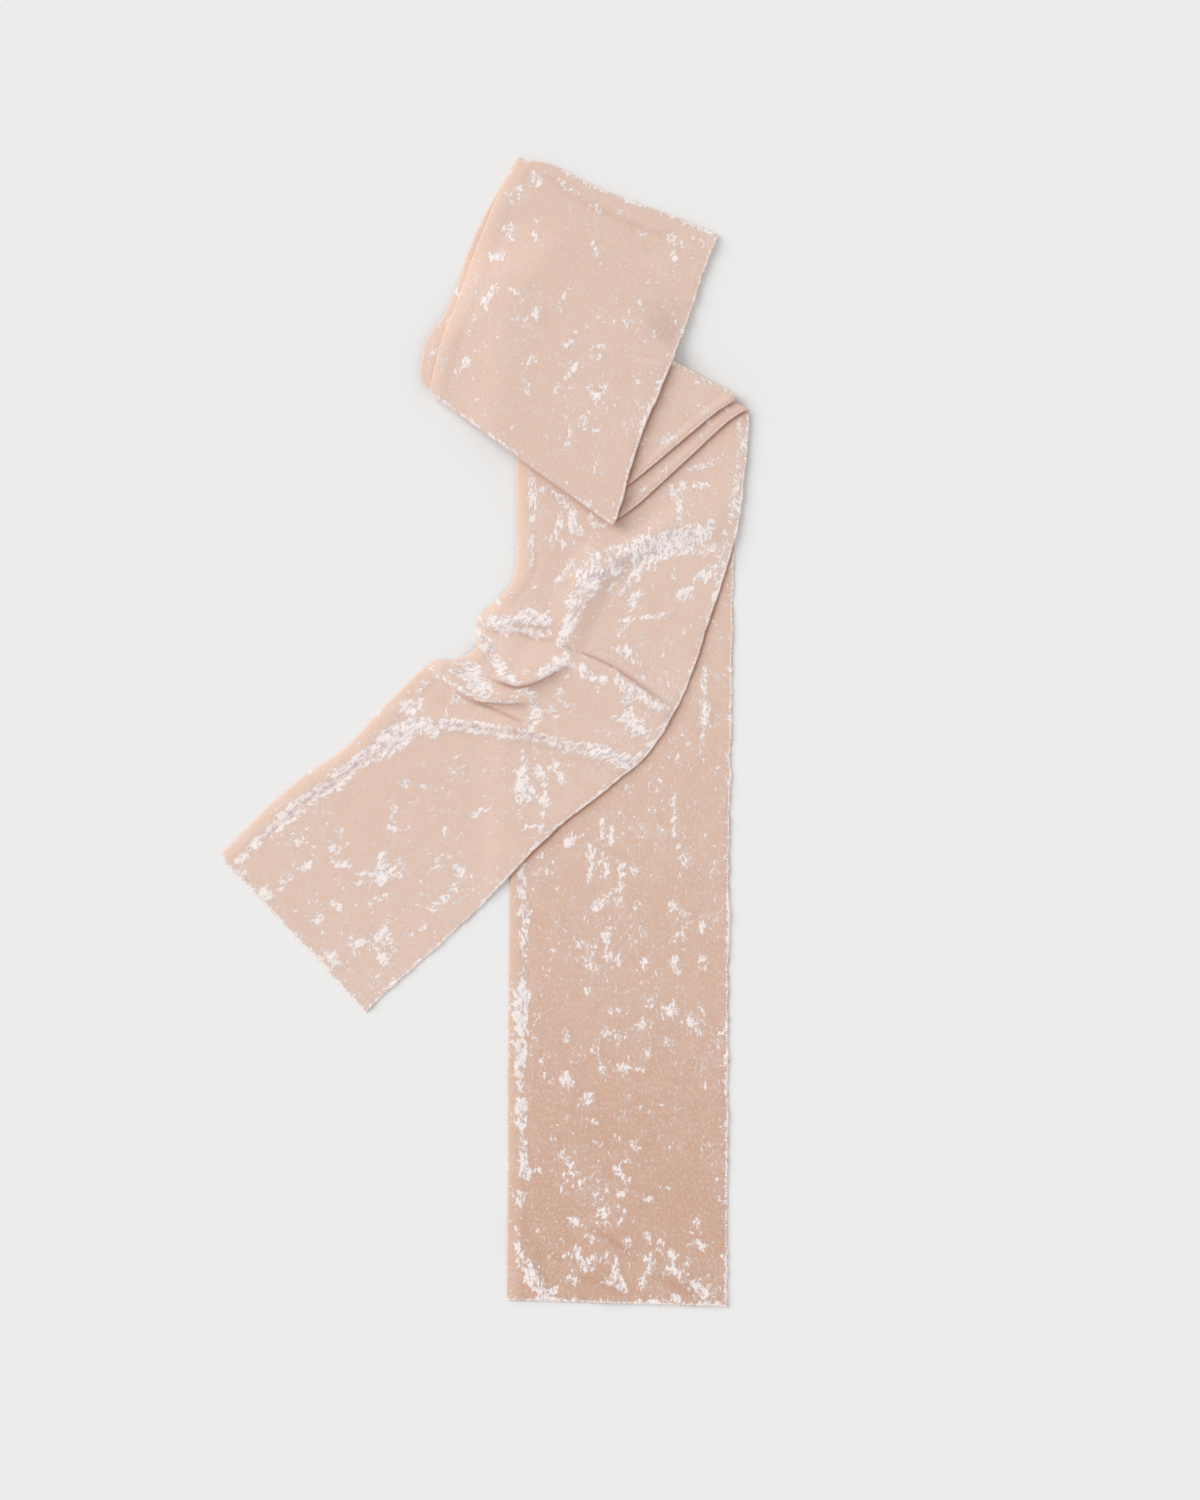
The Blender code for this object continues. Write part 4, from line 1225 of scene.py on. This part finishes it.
def build_loop_front():
    left, right, _ = crossings(LOOP, FRONT_PITCHES[0])
    start, end = away_from(left, right, 0), away_from(left, right, -1)
    left, right = wavering(left, right, EDGE_WAVER, FOLD_WAVER)
    along = running_length(left, right)
    left = left + across_way(left, right) * corner_inset(along[-1] - along + OUTER_FOLD, LOOP_CORNER)[:, None]
    rows = rows_of(left, right, columns(left, right, FRONT_PITCHES[1]), along)
    bow = np.interp(rows.from_fold, *smooth_line(TOP_BOW).T) * smooth_fall(rows.lengths, 0.0, BOW_FADE)
    rows = moved(rows, start * bow[:, :, None])
    low = under_drooping_loop(rows) + LAYER
    dust = [fold_dust(felt(RIPPLES, rows), -run, radius)
            for run, radius in ((rows.lengths, INNER_FOLD), (rows.to_end, OUTER_FOLD))]
    crush = np.maximum.reduce([crushed(rows, LOOP_FRONT_MARKS)[0], edge_dust(rows, rows.from_seam), *dust])
    grooves = grooved(rows, LOOP_CREASES)
    open_share = np.clip(np.minimum(rows.lengths, rows.to_end) / FOLDED_WITHIN, 0.0, 1.0)
    high = lifted(rows, low + WALL - grooves, open_share, crush)
    # painted shade in the loop's shallow crease
    cloth = as_cloth(rows, low, high, borders(rows, *OPEN_BORDERS), crush=crush, crease=GROOVE_SHADE * grooves)
    cloth = folded_on(cloth, rows, left, right, start, low + WALL, INNER_FOLD, bow=bow[0])
    return folded_on(cloth, rows, left, right, end, low + WALL, OUTER_FOLD, end=-1, corner=LOOP_CORNER)


loop_front_rows = build_loop_front()
loop_front = velvet_mesh("loop_front_cloth", [loop_front_rows])

# %% [markdown]
# ## Crushed velvet
#
# Velvet is soft light on short pile: it hardly shines from above, and it glows a little at
# grazing angles, which is what sheen does. Where the pile is crushed it turns silvery, with
# ragged shards a few millimetres long. A fine noise, warped by a coarser one, is cut off at a
# level. The painted marks lower that level, so shards gather there, and a broad noise lets
# loose flecks come in clusters elsewhere. Inside a shard, thin fibres run from pinkish white
# to grey lilac. Two more colours are painted light and shade: a paler band along the fold roll is a painted
# highlight, and a warm brown in creases and beside the edges of layers above is painted shade.

# %% Colours of the velvet
PEACH = (0.770, 0.564, 0.468, 1.0)
DEEP_PEACH = (0.600, 0.378, 0.278, 1.0)
# Painted shade: warm brown laid in creases, hollows and beside the edges of layers above
PAINTED_CREASE_SHADE = (0.46, 0.20, 0.12, 1.0)
PALE_PILE = (0.87, 0.72, 0.65, 1.0)
# Painted highlight: a paler peach laid along the rolled fold edge
PAINTED_ROLL_HIGHLIGHT = (0.96, 0.70, 0.55, 1.0)
PINK_SILVER = (0.97, 0.88, 0.85, 1.0)
LILAC_GREY = (0.66, 0.57, 0.59, 1.0)
WARMER = (1.065, 0.982, 0.898, 1.0)
COOLER = (0.935, 0.960, 1.000, 1.0)


print("velvet runs from", PEACH[:3], "to", DEEP_PEACH[:3])

# %% Material helpers
class Nodes:
    """A short way to add linked nodes to a material."""

    def __init__(self, name):
        self.material = bpy.data.materials.new(name)
        self.material.use_nodes = True
        self.tree = self.material.node_tree
        self.shader = self.tree.nodes["Principled BSDF"]

    def feed(self, node, inputs):
        for key, value in dict(inputs).items():
            if isinstance(value, bpy.types.NodeSocket):
                self.tree.links.new(value, node.inputs[key])
            else:
                node.inputs[key].default_value = value

    def add(self, kind, inputs=(), **settings):
        node = self.tree.nodes.new(kind)
        for key, value in settings.items():
            setattr(node, key, value)
        self.feed(node, inputs)
        return node

    def math(self, operation, *values, clamp=False):
        return self.add("ShaderNodeMath", enumerate(values), operation=operation, use_clamp=clamp).outputs[0]

    def total(self, *parts, start=0.0):
        """A start plus each value times its weight."""
        for value, weight in parts:
            start = self.math("MULTIPLY_ADD", value, weight, start)
        return start

    def vector(self, operation, inputs):
        return self.add("ShaderNodeVectorMath", inputs, operation=operation).outputs[0]

    def mapping(self, vector, scale, location=(0.0, 0.0, 0.0)):
        inputs = {"Vector": vector, "Location": location, "Scale": scale}
        return self.add("ShaderNodeMapping", inputs).outputs[0]

    def noise(self, vector, scale, detail=2.0, roughness=0.5, output="Fac"):
        inputs = {"Vector": vector, "Scale": scale, "Detail": detail, "Roughness": roughness}
        return self.add("ShaderNodeTexNoise", inputs).outputs[output]

    def step(self, value, low, high, most=1.0):
        """An even S from nothing at low up to the most at high."""
        inputs = {"Value": value, "From Min": low, "From Max": high, "To Max": most}
        return self.add("ShaderNodeMapRange", inputs, interpolation_type="SMOOTHSTEP").outputs["Result"]

    def blend(self, share, a, b, how="MIX"):
        """Colour b laid on colour a, by a share."""
        return self.add("ShaderNodeMix", {0: share, 6: a, 7: b}, data_type="RGBA", blend_type=how).outputs[2]

    def attribute(self, name):
        return self.add("ShaderNodeAttribute", attribute_name=name).outputs["Fac"]

    def bump(self, strength, distance, height):
        inputs = {"Strength": strength, "Distance": distance, "Height": height}
        return self.add("ShaderNodeBump", inputs).outputs["Normal"]


print("helpers:", ", ".join(name for name in vars(Nodes) if not name.startswith("_")))

# %% Crushed velvet
FLECK_LEVEL = 1.90
FLECK_EDGE = 0.05
FAINT_BELOW = 0.22
ALONG_PILE = 0.66
WARP = 0.0065


def velvet(name, layer, lightness, deepening=0.0, flecks=0.0, roll=0.0):
    """Crushed velvet of one stretch: its slice of noise, its lightness, how far its tone deepens, and how strong
    the painted highlight along its fold roll is.
    """
    n = Nodes(name)
    place = n.add("ShaderNodeTexCoord").outputs["Object"]
    weave = n.add("ShaderNodeUVMap", uv_map="weave").outputs["UV"]
    crush, core = n.attribute("crush"), n.attribute("core")
    cloth = n.mapping(weave, (1.0, ALONG_PILE, 1.0), (0.0, 0.0, layer))
    away = n.vector("SUBTRACT", {0: n.noise(cloth, 260.0, 4.0, 0.6, "Color"), 1: (0.5, 0.5, 0.5)})
    warped = n.vector("ADD", {0: cloth, 1: n.vector("SCALE", {0: away, "Scale": WARP})})

    # Shards of crushed pile, and the faint halo round them
    clusters = n.noise(cloth, 24.0, 2.0, 0.6)
    plates = n.add("ShaderNodeTexVoronoi", {"Vector": warped, "Scale": 330.0}).outputs["Color"]
    plates = n.add("ShaderNodeSeparateColor", {"Color": plates}).outputs[0]
    level = n.total((n.noise(warped, 165.0, 7.0, 0.66), 1.0), (clusters, 0.50), (plates, 0.26),
                    (n.noise(warped, 430.0, 4.0, 0.65), 1.5), (crush, 0.27), (core, 0.10))
    cut = FLECK_LEVEL - flecks
    silver = n.step(level, cut, cut + FLECK_EDGE)
    faint = n.step(level, cut - FAINT_BELOW, cut)

    # Thin curly threads of crushed pile between the shards
    squiggle = n.math("ABSOLUTE", n.math("SUBTRACT", n.noise(warped, 150.0, 5.0, 0.55), 0.5))
    where = n.step(n.total((clusters, 1.0), (crush, 0.2)), 0.50, 0.62)
    silver = n.math("MAXIMUM", silver, n.math("MULTIPLY", n.step(squiggle, 0.012, 0.0, 0.6), where))
    silver = n.math("MAXIMUM", silver, n.math("MULTIPLY", faint, 0.15))
    fibres = n.noise(n.mapping(warped, (1.0, 0.45, 1.0)), 420.0, 4.0, 0.7)
    silver_colour = n.blend(n.step(n.total((fibres, 1.0), (core, -0.07)), 0.35, 0.44), LILAC_GREY, PINK_SILVER)

    # The pile between them: a broad tone, then rows, grains and specks
    tone = n.total((n.attribute("tone"), deepening), (n.noise(place, 9.0), 0.35),
                   (n.noise(place, 75.0, 3.0), 0.55))
    tone = n.math("SUBTRACT", tone, 0.45, clamp=True)
    rows = n.add("ShaderNodeTexWave", {"Vector": weave, "Scale": 260.0, "Distortion": 3.0, "Detail": 2.0,
                                       "Detail Scale": 2.0}, bands_direction="Y").outputs["Fac"]
    grain = n.total((rows, 0.3), (n.noise(place, 1500.0, 2.0, 0.6), 0.9))
    speckle = n.noise(cloth, 520.0, 2.0, 0.7)
    across = n.add("ShaderNodeSeparateXYZ", {"Vector": weave}).outputs["X"]
    colour = n.blend(tone, (*(v * lightness for v in PEACH[:3]), 1.0), DEEP_PEACH)
    for share, laid_on, *how in (
        (n.step(grain, 0.35, 0.95, 0.16), PALE_PILE),
        (n.step(speckle, 0.50, 0.70, 0.38), PALE_PILE),
        (n.step(speckle, 0.46, 0.30, 0.12), DEEP_PEACH),
        (n.step(speckle, 0.52, 0.36, 0.62 + 0.38 * deepening), WARMER, "MULTIPLY"),
        (faint, COOLER, "MULTIPLY"),
        # painted highlight: a paler band along the fold roll, full within 7 mm of the fold edge
        (n.step(across, 0.013, 0.007, roll), PAINTED_ROLL_HIGHLIGHT),
        (n.math("MULTIPLY", silver, 0.94), silver_colour),
        # painted shade: warm brown in creases, hollows and beside the edges of layers above
        (n.math("MULTIPLY", n.attribute("crease"), 0.75), PAINTED_CREASE_SHADE),
    ):
        colour = n.blend(share, colour, laid_on, *how)

    height = n.total((grain, 0.25), (n.math("MULTIPLY", fibres, silver), 0.9))
    n.feed(n.shader, {"Base Color": colour, "Roughness": n.total((silver, -0.34), start=0.86),
                      "Normal": n.bump(0.5, 0.0006, height), "Sheen Weight": 0.35, "Sheen Roughness": 0.45,
                      "Sheen Tint": (1.0, 0.90, 0.86, 1.0), "Specular IOR Level": 0.3})
    return n.material


# roll sets the strength of the painted highlight along the fold roll
long_velvet = velvet("velvet_of_long_tail", 0.3, 0.97, deepening=1.0, flecks=0.03, roll=0.2)
print("velvet of the long tail has", len(long_velvet.node_tree.nodes), "nodes")

# %% Velvet on every stretch
# roll sets the strength of the painted highlight along each fold roll
short_velvet = velvet("velvet_of_short_tail", 1.7, 0.98, flecks=0.025, roll=0.36)
turn_velvet = velvet("velvet_of_turn", 2.9, 0.98)
loop_velvet = velvet("velvet_of_loop", 4.1, 0.97, roll=0.3)
for finish, pieces in ((long_velvet, [long_tail]), (short_velvet, [short_tail]),
                       (turn_velvet, [turn_lower, turn_upper, hidden_turn]),
                       (loop_velvet, [loop_back, loop_front])):
    for piece in pieces:
        piece.data.materials.append(finish)
print("four velvets made")

# %% [markdown]
# ## The stitched edge
#
# Along the seam edge the thread pulls the pile into a row of small pale beads. They repeat every
# three millimetres or so, which is work for Geometry Nodes: a line laid along the edge is cut
# into even steps, a small pointed bead is set on every step in the line's direction, each a
# little different in size, and the result is turned into one plain mesh.

# %% Lines along the seams
STITCH_SINK = 0.25
EDGE_COLUMN = 5
CLEARANCE = 2.0


def on_top(points):
    """Points on top of the cloth, sunk in as far as the thread is."""
    return points - np.array((0.0, 0.0, STITCH_SINK))


def seam_line(cloth, skip_start, skip_end):
    return on_top(cloth.top[skip_start:len(cloth.top) - skip_end, -EDGE_COLUMN])


def hem_line(cloth, row):
    return on_top(cloth.top[row, EDGE_COLUMN:-EDGE_COLUMN])


def uncovered(line, plans):
    """The longest run of a line that lies outside every outline."""
    free = np.all([outside(line[:, :2], plan)[0] > CLEARANCE for plan in plans], axis=0)
    runs = np.split(np.arange(len(line)), np.flatnonzero(np.diff(free.astype(int))) + 1)
    return line[max((run for run in runs if free[run[0]]), key=len)]


def line_object(name, lines):
    mesh = bpy.data.meshes.new(name)
    points, edges = [], []
    for line in lines:
        first = len(points)
        points += [tuple(point) for point in in_metres(line)]
        edges += [(step, step + 1) for step in range(first, len(points) - 1)]
    mesh.from_pydata(points, edges, [])
    return put_in_scene(name, mesh)


seams = line_object("seam_stitches", [
    uncovered(seam_line(long_tail_rows, 6, 8), [SHORT_TAIL_PLAN]),
    uncovered(seam_line(short_tail_rows, 8, 6), [LOWER_WEDGE_PLAN, LOOP_PLAN]),
    uncovered(seam_line(turn_lower_rows, 6, 6), [UPPER_WEDGE_PLAN, LOOP_PLAN]),
    uncovered(seam_line(turn_upper_rows, 20, 6), [LOOP_PLAN]),
    seam_line(loop_front_rows, 20, 20),
    hem_line(long_tail_rows, EDGE_COLUMN - 1),
    hem_line(short_tail_rows, -EDGE_COLUMN),
])
print("seam lines have", len(seams.data.vertices), "points")

# %% Stitch tree
STITCH_SOCKETS = {"Line": "Geometry", "Pitch": "Float", "Length": "Float", "Thickness": "Float",
                  "Seed": "Int", "Thread": "Material", "Stitches": "Geometry"}

# Every node of the tree: its name here, its kind, its settings and its fixed inputs
STITCH_NODES = (
    ("given", "NodeGroupInput", {}, {}),
    ("result", "NodeGroupOutput", {}, {}),
    ("curve", "GeometryNodeMeshToCurve", {}, {}),
    ("steps", "GeometryNodeResampleCurve", {"mode": "LENGTH"}, {}),
    ("bead", "GeometryNodeMeshUVSphere", {}, {"Segments": 6, "Rings": 4, "Radius": 0.5}),
    ("tangent", "GeometryNodeInputTangent", {}, {}),
    ("turn", "FunctionNodeAlignRotationToVector", {"axis": "X"}, {}),
    ("size", "ShaderNodeCombineXYZ", {}, {}),
    ("chance", "FunctionNodeRandomValue", {"data_type": "FLOAT"}, {2: 0.7, 3: 1.2}),
    ("scaled", "ShaderNodeVectorMath", {"operation": "SCALE"}, {}),
    ("placed", "GeometryNodeInstanceOnPoints", {}, {}),
    ("real", "GeometryNodeRealizeInstances", {}, {}),
    ("finish", "GeometryNodeSetMaterial", {}, {}),
    ("smooth", "GeometryNodeSetShadeSmooth", {}, {}),
)

# Every link of the tree: from a node's outlet to another node's inlet
STITCH_LINKS = (
    ("given", "Line", "curve", "Mesh"), ("curve", "Curve", "steps", "Curve"),
    ("given", "Pitch", "steps", "Length"), ("steps", "Curve", "placed", "Points"),
    ("bead", "Mesh", "placed", "Instance"), ("tangent", "Tangent", "turn", "Vector"),
    ("turn", "Rotation", "placed", "Rotation"), ("given", "Length", "size", "X"),
    ("given", "Thickness", "size", "Y"), ("given", "Thickness", "size", "Z"),
    ("given", "Seed", "chance", "Seed"), ("size", "Vector", "scaled", 0),
    ("chance", 1, "scaled", "Scale"), ("scaled", "Vector", "placed", "Scale"),
    ("placed", "Instances", "real", "Geometry"), ("real", "Geometry", "smooth", "Geometry"),
    ("smooth", "Geometry", "finish", "Geometry"), ("given", "Thread", "finish", "Material"),
    ("finish", "Geometry", "result", "Stitches"),
)


def stitch_tree():
    tree = bpy.data.node_groups.new("stitches_along_line", "GeometryNodeTree")
    for name, kind in STITCH_SOCKETS.items():
        way = "OUTPUT" if name == "Stitches" else "INPUT"
        tree.interface.new_socket(name, in_out=way, socket_type="NodeSocket" + kind)
    nodes = {}
    for name, kind, settings, inputs in STITCH_NODES:
        nodes[name] = tree.nodes.new(kind)
        for key, value in settings.items():
            setattr(nodes[name], key, value)
        for key, value in inputs.items():
            nodes[name].inputs[key].default_value = value
    for source, outlet, target, inlet in STITCH_LINKS:
        tree.links.new(nodes[source].outputs[outlet], nodes[target].inputs[inlet])
    return tree


stitches_along_line = stitch_tree()
print("stitch tree:", len(stitches_along_line.nodes), "nodes,", len(stitches_along_line.links), "links")

# %% Stitches
STITCH_SIZES = {"Pitch": 2.6, "Length": 2.9, "Thickness": 1.15}
STITCH_SEED = 11


def thread_finish():
    """Pale silky thread of the seam, with pile caught in it."""
    n = Nodes("seam_thread")
    place = n.add("ShaderNodeTexCoord").outputs["Object"]
    caught = n.step(n.noise(place, 420.0, 3.0), 0.42, 0.58)
    n.feed(n.shader, {"Base Color": n.blend(caught, PALE_PILE, PINK_SILVER),
                      "Normal": n.bump(0.4, 0.0002, n.noise(place, 3000.0)),
                      "Roughness": 0.6, "Sheen Weight": 0.3})
    return n.material


def baked(thing, modifier):
    """Turns the modifier's result into the object's own plain mesh."""
    graph = bpy.context.evaluated_depsgraph_get()
    made = bpy.data.meshes.new_from_object(thing.evaluated_get(graph), depsgraph=graph)
    thing.modifiers.remove(modifier)
    finishes = [finish for finish in made.materials if finish]
    made.materials.clear()
    for finish in finishes:
        made.materials.append(finish)
    made.polygons.foreach_set("material_index", np.zeros(len(made.polygons), np.int32))
    thing.data = made


modifier = seams.modifiers.new("stitches", "NODES")
modifier.node_group = stitches_along_line
settings = {name: size * MILLIMETRE for name, size in STITCH_SIZES.items()}
settings.update(Seed=STITCH_SEED, Thread=thread_finish())
for socket in modifier.node_group.interface.items_tree:
    if socket.name in settings:
        modifier[socket.identifier] = settings[socket.name]
baked(seams, modifier)
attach(seams, "root")
print("stitches:", len(seams.data.polygons), "faces, finish", [m.name for m in seams.data.materials])

# %% [markdown]
# ## Telling the frame what each piece is
# Each stretch of cloth stands for one solid of the measured part, whose node is hidden, and rides on the one rigid
# body. Each row below lists the piece, its node, a slot for its finish, its size as a sheet (the tube opened out
# flat is 320 mm round, times the stretch's own length), how it is held, what it rests on and an area; only the
# piece and its node are used here. The wedges of the turn are cut from the part of the tube that shows, 152 mm
# round at its widest, and aren't rectangles, so their rows also carry their area.

# %% Sheets
Stretch = namedtuple("Stretch", "piece node slot around length held rests_on area", defaults=(None,))
WEDGE_SIZE = (152.0, 126.0)
HIDDEN_SIZE = (250.0, 214.0)
LONG_TAIL_LENGTH = 700.0
SHORT_TAIL_LENGTH = 548.0
LOOP_LENGTH = 200.0


def row_area(wedges):
    """Area of one ply of a wedge, in square millimetres."""
    outline = plan_of(wedges)
    pairs = zip(outline, outline[1:] + outline[:1])
    return abs(sum(a[0] * b[1] - b[0] * a[1] for a, b in pairs)) / 2


for stretch in (
    Stretch(long_tail, "long_tail", "velvet_long_tail", BAND_ROUND, LONG_TAIL_LENGTH, "laid", []),
    Stretch(short_tail, "short_tail", "velvet_short_tail", BAND_ROUND, SHORT_TAIL_LENGTH, "folded",
            ["long_tail_cloth"]),
    Stretch(turn_lower, "turn_lower", "velvet_turn", *WEDGE_SIZE, "folded", ["short_tail_cloth"],
            2 * row_area(TURN_LOWER)),
    Stretch(turn_upper, "turn_upper", "velvet_turn", *WEDGE_SIZE, "folded", ["turn_lower_cloth"],
            2 * row_area(TURN_UPPER)),
    Stretch(hidden_turn, "hidden_turn", "velvet_turn", *HIDDEN_SIZE, "folded", ["short_tail_cloth"]),
    Stretch(loop_back, "loop_back", "velvet_loop", BAND_ROUND, LOOP_LENGTH, "folded", ["hidden_turn_cloth"]),
    Stretch(loop_front, "loop_front", "velvet_loop", BAND_ROUND, LOOP_LENGTH, "folded", ["loop_back_cloth"]),
):
    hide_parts(stretch.node)
    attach(stretch.piece, "root")

# %% [markdown]
# ## Floor, light and camera
#
# The scarf lies on a plain pale floor. One wide soft light comes in low from the upper left, as
# from a window, so that the edges throw a short, soft shadow to the right, and a pale sky fills
# the rest, so that no fold turns dark.
# The camera looks straight down, and its frame is as wide as the picture's own: 1200 pixels of
# 0.735 mm each.

# %% Floor
FLOOR_SIZE = 6.0
PAPER = (0.862, 0.862, 0.858, 1.0)

floor_mesh = bmesh.new()
bmesh.ops.create_grid(floor_mesh, x_segments=4, y_segments=4, size=FLOOR_SIZE / 2)
floor_data = bpy.data.meshes.new("floor")
floor_mesh.to_mesh(floor_data)
floor_mesh.free()
floor = put_in_scene("floor", floor_data)
paper = Nodes("paper_floor")
paper.feed(paper.shader, {"Base Color": PAPER, "Roughness": 0.9, "Specular IOR Level": 0.1})
floor_data.materials.append(paper.material)
print("floor", FLOOR_SIZE, "m across")

# %% Light
SKY = 0.70
KEY = 1.45
KEY_FROM = (-1.0, 0.55, 0.85)
KEY_SOFTNESS = math.radians(46.0)

key_data = bpy.data.lights.new("window_light", "SUN")
key_data.energy = KEY
key_data.angle = KEY_SOFTNESS
put_in_scene("window_light", key_data).rotation_euler = Vector(KEY_FROM).to_track_quat("Z", "Y").to_euler()
world = bpy.data.worlds.new("pale_room")
world.use_nodes = True
background = world.node_tree.nodes["Background"]
background.inputs["Color"].default_value = (1.0, 1.0, 1.0, 1.0)
background.inputs["Strength"].default_value = SKY
bpy.context.scene.world = world
bpy.context.scene.view_settings.view_transform = "Standard"
bpy.context.scene.view_settings.look = "None"
print("light from", KEY_FROM, "and a sky of", SKY)

# %% Camera
PICTURE_PIXELS = (1200.0, 1500.0)
CAMERA_HEIGHT = 2.4
SENSOR_HEIGHT = 24.0

centre = in_metres(np.array((*from_picture((PICTURE_PIXELS[0] / 2, PICTURE_PIXELS[1] / 2)), 0.0)))[:2]
camera_data = bpy.data.cameras.new("camera")
camera_data.sensor_fit = "VERTICAL"
camera_data.sensor_height = SENSOR_HEIGHT
camera_data.sensor_width = SENSOR_HEIGHT
camera_data.lens = SENSOR_HEIGHT * CAMERA_HEIGHT / (PICTURE_PIXELS[1] * MILLIMETRES_PER_PIXEL * MILLIMETRE)
camera = put_in_scene("camera", camera_data)
camera.location = (*centre, CAMERA_HEIGHT)
bpy.context.scene.camera = camera
print("camera above", [round(float(v), 4) for v in centre], "lens", round(camera_data.lens, 2))
